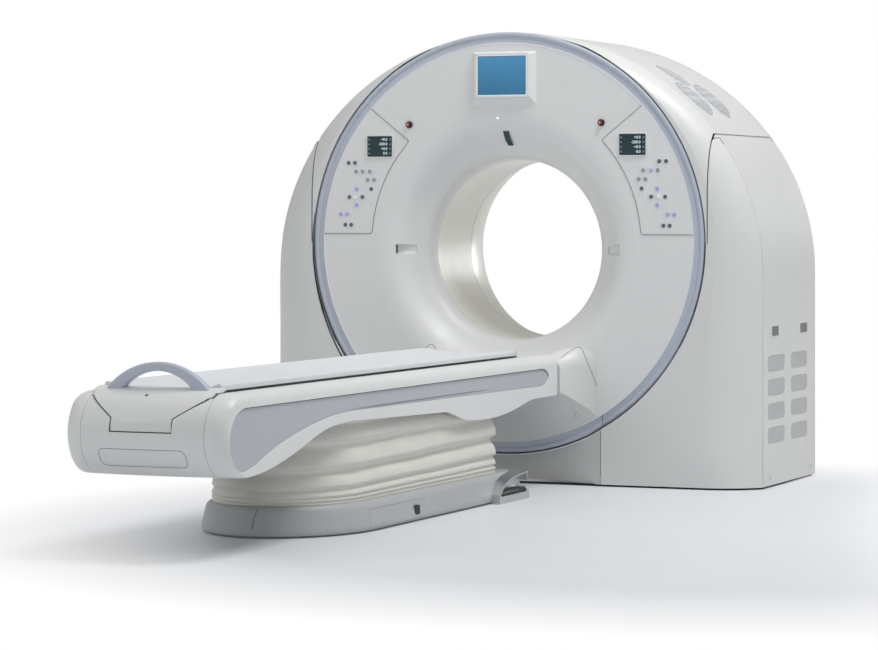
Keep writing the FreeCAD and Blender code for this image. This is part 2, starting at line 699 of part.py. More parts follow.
def front_form(skin):
    """The whole front as one smooth swept body inside the arch, its skin taken off."""
    right = [front_section(station) for station in arch_stations()]
    left = [wire.mirror(Vector(), Vector(1, 0, 0)) for wire in reversed(right[:-1])]
    swept = Part.makeLoft(right + left, True, False).translated(Vector(0, skin, 0))
    bound = arch_wire(v.gantry_half_width - skin, v.arch_spring, v.arch_rise - skin,
                      v.face - 80, -10)
    return swept.common(prism(bound, Vector(0, v.shoulder_depth + 90, 0)))


def ring_hole():
    return drum(v.ring_hole, v.disc_z, v.face - 60, v.face + v.ring_depth + 2)


def wing_zone():
    """What belongs to the right wing, seen from the front, as a thick plate."""
    y = v.face - 80
    seam, edge = v.neck_half_width + v.seam_gap / 2, v.wing_inner + v.seam_gap / 2
    top, corner, wide = v.side_top, v.wing_corner, v.gantry_half_width + 10

    def at(x, z):
        return Vector(x, y, z)

    zone = joined([line(at(seam, v.floor_gap), at(wide, v.floor_gap)),
                   line(at(wide, v.floor_gap), at(wide, top)),
                   line(at(wide, top), at(edge + corner, top)),
                   quarter(at(edge + corner, top), at(edge, top), at(edge, top - corner)),
                   line(at(edge, top - corner), at(edge, v.disc_z)),
                   line(at(edge, v.disc_z), at(seam, v.disc_z)),
                   line(at(seam, v.disc_z), at(seam, v.floor_gap))])
    return prism(zone, Vector(0, 80 + v.shoulder_depth - v.seam_gap / 2, 0))


def largest(shape):
    return max(shape.Solids, key=lambda solid: solid.Volume)


def wing_covers(outer, inner):
    wing = outer.common(wing_zone()).cut(inner).cut(ring_hole())
    right = shaped("wing", largest(wing))
    keep(right, "wing_cover_right")
    keep(mirror_x("wing_mirror", right), "wing_cover_left")


def arch_shell(y0, y1, skin_out, skin_in):
    """The constant part of the outer skin between two depths below its surface."""
    bottom = v.floor_gap
    outer = prism(arch_wire(v.gantry_half_width - skin_out, v.arch_spring, v.arch_rise - skin_out,
                            y0, bottom), Vector(0, y1 - y0, 0))
    inner = prism(arch_wire(v.gantry_half_width - skin_in, v.arch_spring, v.arch_rise - skin_in,
                            y0 - 1, bottom - 1), Vector(0, y1 - y0 + 2, 0))
    return outer.cut(inner)


def front_covers():
    """Both wings and the roof, cut from one skin along their seams."""
    forms = [front_form(skin) for skin in (0, v.groove_depth, v.groove_depth + v.groove_lip)]
    wing_covers(*forms[:2])
    roof_cover(*forms)


def roof_zone(low, y0, y1):
    """What belongs to the roof, seen from the front: all above low and the strip inside."""
    half, wide = v.wing_inner - v.seam_gap / 2, v.gantry_half_width + 10
    points = [(-half, v.disc_z), (half, v.disc_z), (half, low), (wide, low),
              (wide, v.arch_spring + v.arch_rise + 10), (-wide, v.arch_spring + v.arch_rise + 10),
              (-wide, low), (-half, low)]
    return prism(polygon([Vector(x, y0, z) for x, z in points]), Vector(0, y1 - y0, 0))


def roof_cover(outer, inner, innermost):
    """The roof with the recessed lip that shows as a groove above the side covers."""
    front = outer.common(roof_zone(v.roof_seam, v.face - 10, v.shoulder)).cut(inner)
    shell = arch_shell(v.shoulder, v.side_end, 0, v.cover_wall)
    shell = shell.common(roof_zone(v.roof_seam, v.shoulder, v.side_end))
    strip = arch_shell(v.shoulder, v.side_end, v.groove_depth, v.groove_depth + v.groove_lip)
    wide = v.gantry_half_width
    low, high = v.side_top - 8, v.roof_seam + 15
    groove = inner.common(block(v.wing_inner + 4, v.face - 10, low, wide, v.shoulder, high))
    groove = groove.cut(innermost)
    groove = groove.fuse(strip.common(block(0, v.shoulder, low, wide, v.side_end, high)))
    roof = front.cut(ring_hole()).fuse([shell, groove, reflected(groove)])
    keep(shaped("roof", largest(roof)), "top_cover")


def rounded_window(y0, z0, width, height, radius, x0, x1):
    """A rounded rectangle cut or plate square to X."""
    plate = block(x0, y0, z0, x1, y0 + width, z0 + height)
    return plate.makeFillet(radius, [edge for edge in plate.Edges if edge.BoundBox.XLength > 1e-3
                                     and edge.BoundBox.YLength < 1e-3])


def vent_places():
    """The lower front corner of each louvred vent, in two columns of four."""
    return [(v.face + column, v.vent_low + row * v.vent_pitch)
            for column in (v.vent_front, v.vent_rear) for row in range(4)]


def side_covers():
    half = v.gantry_half_width
    shell = arch_shell(v.shoulder + v.seam_gap / 2, v.side_end, 0, v.cover_wall)
    strip = shell.common(block(half * 0.5, v.face, 0, half + 1, v.rear, v.side_top))
    for y, z in vent_places():
        strip = strip.cut(rounded_window(y, z, v.vent_width, v.vent_height, v.vent_radius,
                                         half - 20, half + 20))
    bosses = []
    for y in (v.face + 213, v.face + 648):
        bosses.append(rounded_window(y, 633, 108, 50, 8, half - 1, half + 2))
    for y in (v.face + 160, v.face + 712):
        moon = Part.makeCylinder(24, 3, Vector(half - 1, y + 24, 52), Vector(1, 0, 0))
        bosses.append(moon.common(block(half - 2, y, 52, half + 3, y + 48, 80)))
    right = shaped("side", strip.fuse(bosses).removeSplitter())
    keep(right, "side_cover_right")
    keep(mirror_x("side_mirror", right), "side_cover_left")


def side_louvres():
    """Louvred inserts that fill the vents: a rounded frame and slanted slats."""
    outer_x = v.gantry_half_width - 2
    depth, border, play = 12, 7, 0.5
    slats = int(v.vent_slats)
    inserts = []
    for y, z in vent_places():
        frame = rounded_window(y + play, z + play, v.vent_width - 2 * play,
                               v.vent_height - 2 * play, v.vent_radius - play,
                               outer_x - depth, outer_x)
        window = rounded_window(y + border, z + border, v.vent_width - 2 * border,
                                v.vent_height - 2 * border, v.vent_radius - border,
                                outer_x - depth - 1, outer_x + 1)
        pitch = (v.vent_height - 2 * border) / slats
        insert = frame.cut(window)
        for index in range(slats):
            low = z + border + index * pitch
            blade = polygon([Vector(outer_x - depth, y, low + pitch * 0.55),
                             Vector(outer_x - depth + 3, y, low + pitch * 0.55),
                             Vector(outer_x - 1, y, low + 2.5), Vector(outer_x - 1, y, low),
                             Vector(outer_x - 3, y, low)])
            bar = prism(blade, Vector(0, v.vent_width, 0))
            insert = insert.fuse(bar.common(window.fuse(frame)))
        inserts.append(insert)
    right = Part.makeCompound(inserts)
    keep(shaped("louvres", Part.makeCompound([right, reflected(right)])), "side_louvres")


def leaf(tail, side, tip, other):
    """A leaf outline on the ground plan: two arcs between its pointed ends."""
    corners = [Vector(x, v.face + y, v.roof_seam + 10) for x, y in (tail, side, tip, other)]
    return joined([arc(corners[0], corners[1], corners[2]),
                   arc(corners[2], corners[3], corners[0])])


# tail, upper side, tip and lower side of each leaf, as (across, behind the face)
ROOF_LEAVES = [((572, 339), (624, 436), (699, 420), (650, 318)),
               ((699, 239), (762, 345), (847, 287), (792, 172)),
               ((701, 468), (764, 574), (851, 516), (792, 400))]


def roof_grilles():
    """Leaf-shaped mesh panels that follow the roof, three on each side."""
    rise = 2.5
    bottom = v.arch_spring - 10
    skin_out = prism(arch_wire(v.gantry_half_width + rise, v.arch_spring, v.arch_rise + rise,
                               v.shoulder + 5, bottom), Vector(0, v.side_length - 10, 0))
    skin_in = prism(arch_wire(v.gantry_half_width + 0.3, v.arch_spring, v.arch_rise + 0.3,
                              v.shoulder, bottom), Vector(0, v.side_length, 0))
    skin = skin_out.cut(skin_in)
    leaves = []
    for corners in ROOF_LEAVES:
        leaves.append(skin.common(prism(leaf(*corners), Vector(0, 0, v.arch_rise))))
    right = Part.makeCompound(leaves)
    keep(shaped("grilles", Part.makeCompound([right, reflected(right)])), "roof_grilles")


def rear_cover():
    wall = v.cover_wall
    start, bottom = v.side_end + v.seam_gap, v.floor_gap

    def form(skin):
        half, rise = v.gantry_half_width - skin, v.arch_rise - skin
        front = arch_wire(half, v.arch_spring, rise, start - (1 if skin else 0), bottom - skin)
        back = arch_wire(half - v.rear_bevel, v.arch_spring, rise - v.rear_bevel, v.rear - skin,
                         bottom - skin)
        return Part.makeLoft([front, back], True, True)

    shell = form(0).cut(form(wall))
    hole = drum(v.rear_mouth_radius + v.cover_wall + 4, v.iso_height, start - 10, v.rear + 10)
    keep(shaped("back", shell.cut(hole)), "rear_cover")


def toe_curve(near, offset, height):
    """The recessed skirt's bay from above, between the wings' inner edges."""
    half = v.neck_half_width - v.seam_gap / 2
    deep = v.face + v.toe_recess + offset
    edge = v.face - near + offset
    bend = v.face + 37 + offset
    return curve([Vector(-half, edge, height), Vector(-half * 0.695, bend, height),
                  Vector(0, deep, height), Vector(half * 0.695, bend, height),
                  Vector(half, edge, height)])


def toe_solid(front_offset, back_offset):
    """The room between two copies of the bay, leaning back a little towards its top."""
    def level(near, height):
        front = toe_curve(near, front_offset, height)
        if back_offset is None:
            ahead = v.face - 120
            corners = [front.EndPoint, Vector(front.EndPoint.x, ahead, height),
                       Vector(front.StartPoint.x, ahead, height), front.StartPoint]
            return joined([front.toShape()] + [line(a, b) for a, b in zip(corners, corners[1:])])
        back = toe_curve(near, back_offset, height)
        return joined([front.toShape(), line(front.EndPoint, back.EndPoint), back.toShape(),
                       line(back.StartPoint, front.StartPoint)])

    return Part.makeLoft([level(v.toe_reach, 0), level(v.toe_reach - 8, v.toe_top)], True, True)


def toe_cover():
    """The recessed front skirt between the wings, under the ring, with its ceiling."""
    wall = v.cover_wall
    wide, deep = v.neck_half_width, v.face + v.toe_recess + wall
    under = drum(v.ring_hole, v.disc_z, v.face - 200, v.rear)
    above_floor = block(-wide, v.face - 100, v.floor_gap, wide, v.rear, v.toe_top)
    skirt = toe_solid(0, wall).common(above_floor).cut(under)
    shelf = drum(v.ring_hole + wall, v.disc_z, v.face + 2, deep).cut(under)
    shelf = shelf.common(toe_solid(1, None)).common(above_floor)
    keep(shaped("toe", largest(skirt.fuse(shelf).removeSplitter())), "toe_cover")


# depth behind the face, half width, side foot, middle foot and shoulder of each section
FAIRING = [(0, 428, 291, 177, 588), (-10, 396, 322, 214, 582), (-32, 356, 352, 276, 572),
           (-70, 318, 383, 345, 556), (-105, 298, 396, 388, 546)]


def fairing_section(depth, half, side_foot, foot, shoulder):
    """The neck fairing from the front: two horns beside a saddle for the tabletop."""
    y = v.face + depth
    drop = (shoulder - v.fairing_saddle) * 0.55 + 20
    horn, inner = half * 0.74, v.channel_half_width - 20

    def at(x, z):
        return Vector(x, y, z)

    flank = Part.BezierCurve()
    flank.setPoles([at(half, shoulder - drop), at(half * 0.985, shoulder - drop * 0.35),
                    at(half * 0.9, shoulder), at(horn, shoulder)])
    slope = Part.BezierCurve()
    slope.setPoles([at(horn, shoulder), at(horn - 26, shoulder), at(inner + 14, v.fairing_saddle),
                    at(inner - 20, v.fairing_saddle)])
    right = [line(at(half, side_foot), at(half, shoulder - drop)), flank.toShape(),
             slope.toShape()]
    left = [edge.mirror(Vector(), Vector(1, 0, 0)) for edge in right]
    saddle = line(at(inner - 20, v.fairing_saddle), at(20 - inner, v.fairing_saddle))
    sole = arc(at(-half, side_foot), at(0, foot), at(half, side_foot))
    return joined(right + left + [saddle, sole])


def neck_fairing():
    """The cover that flares out of the disc towards the couch's head end."""
    flare = Part.makeLoft([fairing_section(*section) for section in FAIRING], True, False)
    root = [fairing_section(depth, *FAIRING[0][1:]) for depth in (v.fairing_root, 0)]
    bump = Part.makeLoft(root, True, True).fuse(flare)
    play = v.fairing_play
    envelope = drum(v.disc_radius + 10, v.disc_z, v.face - play, v.face + 200)
    bump = bump.cut(envelope.cut(funnel_cavity(play)))
    bump = bump.common(drum(v.disc_radius - 2, v.disc_z, v.face - 300, v.face + 80))
    ahead = Vector(v.plug_x, v.face - v.fairing_reach - 30, v.plug_z)
    sleeve = Part.makeCylinder(v.plug_radius, 200, ahead, Vector(0, 1, 0))
    sleeve = sleeve.cut(Part.makeCylinder(v.plug_radius - 2, 200, ahead, Vector(0, 1, 0)))
    skin = bump.cut(bump.translated(Vector(0, 2, 0)))
    keep(shaped("neck", largest(bump.cut(sleeve.common(skin)))), "neck_fairing")


# ---------------------------------------------------------------- gantry: controls on the face
def control_panels():
    """The two keypads' plates on the disc, bounded by the ring and an inner arc."""
    y = v.face - v.panel_thickness
    edge, inner = v.disc_radius - 3, v.panel_inner_radius

    def rim(radius, x):
        return Vector(x, y, v.disc_z + math.sqrt(radius ** 2 - x ** 2))

    def level(radius):
        return Vector(math.sqrt(radius ** 2 - (v.panel_low - v.disc_z) ** 2), y, v.panel_low)

    def between(radius, start, end):
        way = (start + end) * 0.5 - Vector(0, y, v.disc_z)
        return Vector(0, y, v.disc_z) + way.normalize() * radius

    low_out, low_in = level(edge), level(inner)
    high_in, high_out = rim(inner, v.panel_corner_x), rim(edge, v.panel_outer_x)
    plate = prism(joined([line(low_out, low_in),
                          arc(low_in, between(inner, low_in, high_in), high_in),
                          line(high_in, high_out),
                          arc(high_out, between(edge, low_out, high_out), low_out)]),
                  Vector(0, v.panel_thickness, 0))
    corners = [edge for edge in plate.Edges if edge.BoundBox.XLength < 1e-3
               and edge.BoundBox.ZLength < 1e-3 and edge.BoundBox.XMax < v.panel_outer_x + 1]
    plate = plate.makeFillet(v.panel_round, [edge for edge in corners
                                             if edge.BoundBox.ZMax < high_out.z - 1])
    keep(shaped("panels", Part.makeCompound([plate, reflected(plate)])), "control_panels")


# places of the keys beside the bore's axis and over it
KEYS = [(700, 378), (737, 378), (628, 340), (663, 340), (700, 340), (608, 303), (645, 303),
        (628, 263), (698, 263), (664, 228), (698, 228), (733, 228), (698, 194),
        (738, 153), (774, 153), (718, 106), (753, 106)]


def panel_keys():
    """Sealed membrane keys, two groups of separate discs."""
    discs = []
    top = v.face - v.panel_thickness - v.key_height
    for x, over in KEYS:
        key = Part.makeCylinder(v.key_radius, v.key_height, Vector(x, top, v.iso_height + over),
                                Vector(0, 1, 0))
        discs.append(key.makeChamfer(0.7, [edge for edge in key.Edges
                                           if edge.BoundBox.YMax < top + 0.01]))
    right = Part.makeCompound(discs)
    keep(shaped("keys", Part.makeCompound([right, reflected(right)])), "panel_keys")


def panel_displays():
    plate = box("display", "display_x - display_width / 2",
                "-slice_depth - panel_thickness - display_thickness",
                "iso_height + display_rise - display_height / 2", "display_width",
                "display_thickness",
                "display_height")
    keep(group("displays", plate, mirror_x("display_mirror", plate)), "panel_displays")


def monitor():
    """The screen over the bore, in a housing that swells out of the disc."""
    half, low = v.monitor_width / 2, v.monitor_z - v.monitor_height / 2
    front = v.face - v.monitor_depth
    case = block(-half, front, low, half, v.face, low + v.monitor_height)
    upright = [edge for edge in case.Edges if edge.BoundBox.YLength > 1]
    case = case.makeFillet(9, upright)

    def swell(y, spread):
        return polygon([Vector(-half - spread, y, low - spread * 1.2),
                        Vector(half + spread, y, low - spread * 1.2),
                        Vector(half + spread, y, low + v.monitor_height + spread * 0.3),
                        Vector(-half - spread, y, low + v.monitor_height + spread * 0.3)])

    collar = Part.makeLoft([swell(v.face, 26), swell(v.face - v.monitor_depth * 0.6, 3)], True, True)
    collar = collar.makeFillet(9, [edge for edge in collar.Edges if edge.BoundBox.YLength > 1])
    recess = block(-half + v.monitor_bezel, front - 1, low + v.monitor_bezel,
                   half - v.monitor_bezel, front + 4, low + v.monitor_height - v.monitor_bezel)
    keep(shaped("housing", case.fuse(collar).cut(recess).removeSplitter()), "monitor_housing")
    glass = box("glass", "-monitor_width / 2 + monitor_bezel + 0.5",
                "-slice_depth - monitor_depth + 1",
                "iso_height + monitor_rise - monitor_height / 2 + monitor_bezel + 0.5",
                "monitor_width - 2 * monitor_bezel - 1", "3",
                "monitor_height - 2 * monitor_bezel - 1")
    keep(glass, "monitor_screen")


def face_windows():
    """The dark camera slot over the bore and the two laser windows in their scoops."""
    upper, lower = (v.lip_radius, v.lip_depth), (v.throat_radius, v.throat_depth)
    middle = ((upper[0] + lower[0]) / 2 - 6, (upper[1] + lower[1]) / 2 - 5)
    slot = turned_skin([upper, middle, lower], Vector(0, 0.5, -1), Vector(0, 1, -0.75),
                       -2.4, -0.4, 3.0, -1.5)
    wall_x, deep = v.scoop_radius, v.face + v.scoop_depth
    slit = block(wall_x - 2.5, deep - 22, v.iso_height - v.scoop_height / 2 + 4, wall_x,
                 deep - 8, v.iso_height + v.scoop_height / 2 - 4)
    keep(shaped("windows", Part.makeCompound([slot, slit, reflected(slit)])), "face_windows")


def emergency_stops():
    """Mushroom buttons that push into their collars."""
    collars = []
    level = "iso_height + estop_rise"
    for side, sign in (("left", "-"), ("right", "")):
        at_x = sign + "estop_x"
        collar = rod("collar_" + side, "y", at_x, "-slice_depth - 7", level,
                     "estop_collar", "7")
        well = rod("well_" + side, "y", at_x, "-slice_depth - 8", level,
                   "estop_stem + 0.5", "9")
        collars.append(cut("collar_" + side, collar, well))
        stem = rod("stem_" + side, "y", at_x, "-slice_depth - 13", level, "estop_stem", "7")
        head = turned("head_" + side, [("-22", "0"), ("-21.4", "estop_radius - 4"),
                                       ("-19", "estop_radius"), ("-15", "estop_radius"),
                                       ("-13", "estop_radius - 2"), ("-13", "0")], level)
        place(head, at_x, "-slice_depth", level)
        keep(fuse("button_" + side, stem, head), "estop_button_" + side)
    keep(group("collar_pair", *collars), "estop_collars")


# ---------------------------------------------------------------- couch: the moving body's form
def from_foot(distance):
    return v.couch_foot + distance


def lower_edge_wire():
    """Everything above the couch body's waved lower edge, seen from the side."""
    head, ceiling = v.couch_head + 20, v.tongue_top + 20

    def at(distance, z):
        return Vector(-v.couch_half_width - 10, from_foot(distance), z)

    low = at(-40, v.barrel_low)
    knee = at(v.barrel_radius, v.barrel_low)
    waist = at(v.skirt_waist_at, v.skirt_waist)
    sweep = curve([knee, at(v.skirt_knee_at, v.skirt_knee), at(v.skirt_sweep_at, v.skirt_sweep),
                   waist], Vector(0, 1, 0), Vector(0, 1, 0))
    mid = at(v.skirt_mid_at, v.skirt_mid)
    ramp = at(v.skirt_mid_at + 185, v.skirt_belly + 9)
    rise = at(v.skirt_belly_at + 330, (v.skirt_belly + v.skirt_head) / 2 + 6)
    neck = at(v.skirt_head_at, v.skirt_head)
    wave = curve([ramp, at(v.skirt_belly_at, v.skirt_belly), rise, neck],
                 Vector(0, 1, -0.08), Vector(0, 1, 0))
    end = Vector(low.x, head, v.skirt_head)
    top_end, top = Vector(low.x, head, ceiling), Vector(low.x, low.y, ceiling)
    return joined([line(low, knee), sweep.toShape(), line(waist, mid), line(mid, ramp),
                   wave.toShape(), line(neck, end), line(end, top_end), line(top_end, top),
                   line(top, low)])


def couch_level(z, wall, radius, centre_z, side):
    """The couch body from above at one height: bowed foot end, round corners, straight sides.

    The foot end is a barrel of the given radius about centre_z; wall takes the skin off.
    """
    reach = radius - wall
    foot = v.couch_foot + radius - math.sqrt(reach ** 2 - (z - centre_z) ** 2)
    half, head = v.couch_half_width - side, v.couch_head - wall
    bow_half = v.couch_half_width - v.corner_width
    bow = v.foot_bow
    slope = 2 * bow / bow_half
    near, far = half - bow_half, v.head_corner - wall

    def at(x, y):
        return Vector(x, y, z)

    turn = foot + bow + v.corner_depth - wall * 0.5
    right = [quarter(at(bow_half, foot + bow), at(half, foot + bow + near * slope), at(half, turn)),
             line(at(half, turn), at(half, head - far)),
             quarter(at(half, head - far), at(half, head), at(half - far, head))]
    left = [edge.mirror(Vector(), Vector(1, 0, 0)) for edge in right]
    front = arc(at(-bow_half, foot + bow), at(0, foot), at(bow_half, foot + bow))
    return joined([front] + right + left + [line(at(far - half, head), at(half - far, head))])


def shoulder_inset(z, wall):
    """How far the sides round over below the deck's height."""
    centre = v.deck_top - v.shoulder_radius
    if z <= centre:
        return wall
    return v.shoulder_radius - math.sqrt((v.shoulder_radius - wall) ** 2 - (z - centre) ** 2)


def couch_form(wall):
    """The couch body as one solid, its skin of a given thickness taken off."""
    low, top = v.barrel_low + wall, v.deck_top - wall
    if wall:
        low = v.barrel_z - math.sqrt((v.barrel_radius - wall) ** 2 - 28 ** 2)
    shares = (0.0, 0.035, 0.09, 0.19, 0.33, 0.49, 0.65, 0.79, 0.87, 0.93, 0.965, 0.985, 1.0)
    levels = [low + (top - low) * share for share in shares]
    body = Part.makeLoft([couch_level(z, wall, v.barrel_radius, v.barrel_z,
                                      shoulder_inset(z, wall)) for z in levels], True, False)
    if wall:
        lowest = couch_level(low, wall, v.barrel_radius, v.barrel_z, wall)
        return body.fuse(Part.Face(lowest).extrude(Vector(0, 0, -low)))
    return body


def couch_skin():
    """The couch body's skin, open below, with its waved lower edge."""
    above_edge = prism(lower_edge_wire(), Vector(2 * v.couch_half_width + 20, 0, 0))
    return couch_form(0).common(above_edge).cut(couch_form(v.couch_wall))


def tongue_points(grow):
    """Half of the end cap's outline seen from the foot end, from low step to brim."""
    half, hip = v.tongue_half_width + grow, v.tongue_hip + grow
    return [(half, v.tongue_low - grow), (half, v.tongue_step - grow * 0.55),
            (v.tongue_shoulder + grow * 0.55, v.tongue_shoulder_z - grow * 0.85),
            (hip, v.tongue_hip_z - grow * 0.5), (hip, v.tongue_brim_z - grow)]


def tongue_prism(grow):
    """The end cap's outline as a thick plate on the foot end."""
    brim, top = v.tongue_brim + grow, v.tongue_top + 40
    right = tongue_points(grow) + [(brim, v.tongue_brim_z - grow), (brim, top)]
    y = v.couch_foot - 20
    points = [Vector(x, y, z) for x, z in right] + [Vector(-x, y, z) for x, z in reversed(right)]
    return prism(polygon(points), Vector(0, v.tabletop_foot_at + 20, 0))


def inset_wire(x, shrink):
    """The lilac side panel's outline: deep at the foot end, slim towards the head."""
    def at(distance, z):
        return Vector(x, from_foot(distance), z)

    top, low, deep = v.inset_top - shrink, v.inset_low + shrink, v.inset_foot_low + shrink
    start, end = v.inset_from + shrink, v.inset_to - shrink
    middle = (v.inset_top + v.inset_foot_low) / 2
    sweep = curve([at(start + 105, deep), at(start + 315, deep + 56), at(start + 630, deep + 125),
                   at(start + 960, low + 10)], Vector(0, 1, 0.12), Vector(0, 1, 0.01))
    return joined([quarter(at(start, middle), at(start, top), at(start + 118, top)),
                   line(at(start + 118, top), at(end - 91, top)),
                   quarter(at(end - 91, top), at(end, top), at(end, (top + low) / 2)),
                   quarter(at(end, (top + low) / 2), at(end, low), at(end - 91, low)),
                   line(at(end - 91, low), at(start + 960, low + 10)),
                   sweep.toShape(),
                   quarter(at(start + 105, deep), at(start, deep), at(start, middle))])


def cap_zone(play):
    """What belongs to the foot end's own cap: its width, up to under the deck."""
    half = v.cap_half_width + play
    return block(-half, v.couch_foot - 10, 0, half, from_foot(v.cap_depth) + play, v.deck_top + 50)


def couch_shell(skin):
    channel = block(-v.channel_half_width, v.couch_foot - 10, v.tongue_low + 60,
                    v.channel_half_width, v.couch_head + 10, v.deck_top + 50)
    shell = skin.cut(channel).cut(cap_zone(v.inset_gap)).cut(tongue_prism(v.tongue_gap))
    recess = prism(inset_wire(v.couch_half_width - v.inset_depth, 0),
                   Vector(v.inset_depth + 5, 0, 0))
    shell = shell.cut(recess).cut(reflected(recess))
    keep(shaped("shell", largest(shell)), "couch_shell")


def side_panels():
    half = v.couch_half_width
    panel = prism(inset_wire(half - v.inset_depth, v.inset_gap), Vector(v.inset_thickness, 0, 0))
    right = shaped("side_panel", panel)
    keep(right, "side_panel_right")
    keep(mirror_x("side_panel_mirror", right), "side_panel_left")


def foot_end_cap(skin):
    """The foot end's lower cover, with the shallow blank field above its lower edge."""
    cap = skin.common(cap_zone(0)).cut(tongue_prism(v.tongue_gap))
    deck = block(-v.couch_half_width, v.couch_foot, v.deck_top - v.couch_wall - 1,
                 v.couch_half_width, v.couch_head, v.deck_top + 50)
    cap = largest(cap.cut(deck))
    field = block(-v.label_half_width, v.couch_foot - 40, v.label_low, v.label_half_width,
                  v.couch_foot + 60, v.label_high)
    field = field.makeFillet(12, [edge for edge in field.Edges if edge.BoundBox.YLength > 1])
    outer = couch_form(0)
    outer.translate(Vector(0, v.label_recess, 0))
    keep(shaped("foot_cap", cap.cut(field.cut(outer))), "foot_end_cap")


def tongue_form(wall):
    """The end cap's own barrel, a little proud of the couch's, up to the tabletop."""
    radius = v.tongue_barrel
    top, low = v.tongue_top - wall, v.tongue_low - 8
    shares = (0.0, 0.2, 0.4, 0.58, 0.74, 0.86, 0.93, 0.97, 0.99)
    levels = [low + (top - low) * share for share in shares]
    plans = [couch_level(z, wall, radius, v.tongue_z, wall) for z in levels]
    roof = couch_level(top, wall, radius, v.tongue_z, wall)
    return Part.makeLoft(plans + [roof], True, False)


def tabletop_end_cap():
    """The tabletop's curved foot end, joined to it by a bulkhead."""
    end = from_foot(v.tabletop_foot_at)
    keep_foot = block(-v.couch_half_width, v.couch_foot - 20, 0, v.couch_half_width, end, 900)
    tongue = tongue_form(0).cut(tongue_form(v.tongue_wall))
    tongue = tongue.common(tongue_prism(0)).common(keep_foot)
    bulkhead = block(-v.tabletop_half_width, end - 12, v.tabletop_rim - 62,
                     v.tabletop_half_width, end, v.tongue_top - v.tongue_wall / 2)
    bulkhead = bulkhead.common(tongue_prism(0))
    keyhole = Part.makeCylinder(v.keyhole_radius, 60,
                                Vector(0, v.couch_foot - 10, v.tongue_hip_z - 3),
                                Vector(0, 1, 0))
    inner = tongue_form(v.tongue_wall / 2)
    tongue = largest(tongue.fuse(bulkhead).cut(keyhole.cut(inner)))
    keep(shaped("tongue", tongue), "tabletop_end_cap")


def handle():
    """A crescent grip that stands on the end cap."""
    y = from_foot(v.handle_at) - v.handle_depth / 2
    span, foot = v.handle_half_span, v.tongue_top - v.handle_seat
    inner = span - v.handle_foot
    crown = v.tongue_top + v.handle_rise
    edges = [arc(Vector(-span, y, foot), Vector(0, y, crown), Vector(span, y, foot)),
             line(Vector(span, y, foot), Vector(inner, y, foot)),
             arc(Vector(inner, y, foot), Vector(0, y, crown - v.handle_crown),
                 Vector(-inner, y, foot)),
             line(Vector(-inner, y, foot), Vector(-span, y, foot))]
    grip = prism(joined(edges), Vector(0, v.handle_depth, 0))
    round_edges = [edge for edge in grip.Edges if edge.Length > span
                   and edge.BoundBox.YLength < 1e-3]
    grip = grip.makeFillet(v.handle_depth * 0.3, round_edges)
    keep(shaped("grip", largest(grip.cut(tongue_form(0)))), "handle")


def trough_face(y):
    """The tabletop's section: a shallow trough with rounded rims."""
    half, rim = v.tabletop_half_width, v.tabletop_rim
    edge_low = rim - v.tabletop_edge
    lip = half - 12
    top_mid = edge_low - v.tabletop_sag + v.tabletop_wall
    edges = [arc(Vector(-lip, y, rim), Vector(0, y, top_mid), Vector(lip, y, rim)),
             arc(Vector(lip, y, rim), Vector(half - 2, y, rim - 4), Vector(half, y, rim - 12)),
             line(Vector(half, y, rim - 12), Vector(half, y, edge_low)),
             arc(Vector(half, y, edge_low), Vector(0, y, edge_low - v.tabletop_sag),
                 Vector(-half, y, edge_low)),
             line(Vector(-half, y, edge_low), Vector(-half, y, rim - 12)),
             arc(Vector(-half, y, rim - 12), Vector(-half + 2, y, rim - 4), Vector(-lip, y, rim))]
    return Part.Face(joined(edges))


def tabletop_plan(half, start, end):
    """The tabletop from above: straight sides, then a taper to a rounded head end."""
    slim, corner, low = v.taper_half_width, 60, v.tabletop_rim - 150
    begin = end - v.taper_length

    def at(x, y):
        return Vector(x, y, low)

    flank = curve([at(half, begin), at((half + slim) / 2 + 6, end - v.taper_length * 0.45),
                   at(slim, end - corner)], Vector(0, 1, 0), Vector(-0.25, 1, 0))
    nose = curve([at(slim, end - corner), at(0, end), at(-slim, end - corner)])
    right = [line(at(half, start), at(half, begin)), flank.toShape()]
    left = [edge.mirror(Vector(), Vector(1, 0, 0)) for edge in right]
    return joined(right + left + [nose.toShape(), line(at(-half, start), at(half, start))])


def tabletop():
    start = from_foot(v.tabletop_foot_at)
    end = start + v.tabletop_length
    bed = trough_face(start).extrude(Vector(0, v.tabletop_length, 0))
    plan = tabletop_plan(v.tabletop_half_width + 1, start - 1, end)
    keep(shaped("cradle", bed.common(prism(plan, Vector(0, 0, 300)))), "tabletop")
    rail = block(v.rail_inner, from_foot(v.rail_from), v.rail_low, v.rail_outer,
                 end - v.taper_length - 15, v.tabletop_rim)
    rail = largest(rail.cut(trough_solid_above(start, end)))
    keep(shaped("rails", Part.makeCompound([rail, reflected(rail)])), "guide_rails")


def trough_solid_above(start, end):
    """All that lies above the tabletop's underside."""
    half, low = v.tabletop_half_width, v.tabletop_rim - v.tabletop_edge
    y = start - 5
    edges = [arc(Vector(half, y, low), Vector(0, y, low - v.tabletop_sag), Vector(-half, y, low)),
             line(Vector(-half, y, low), Vector(-half, y, low + 100)),
             line(Vector(-half, y, low + 100), Vector(half, y, low + 100)),
             line(Vector(half, y, low + 100), Vector(half, y, low))]
    return prism(joined(edges), Vector(0, end - start, 0))


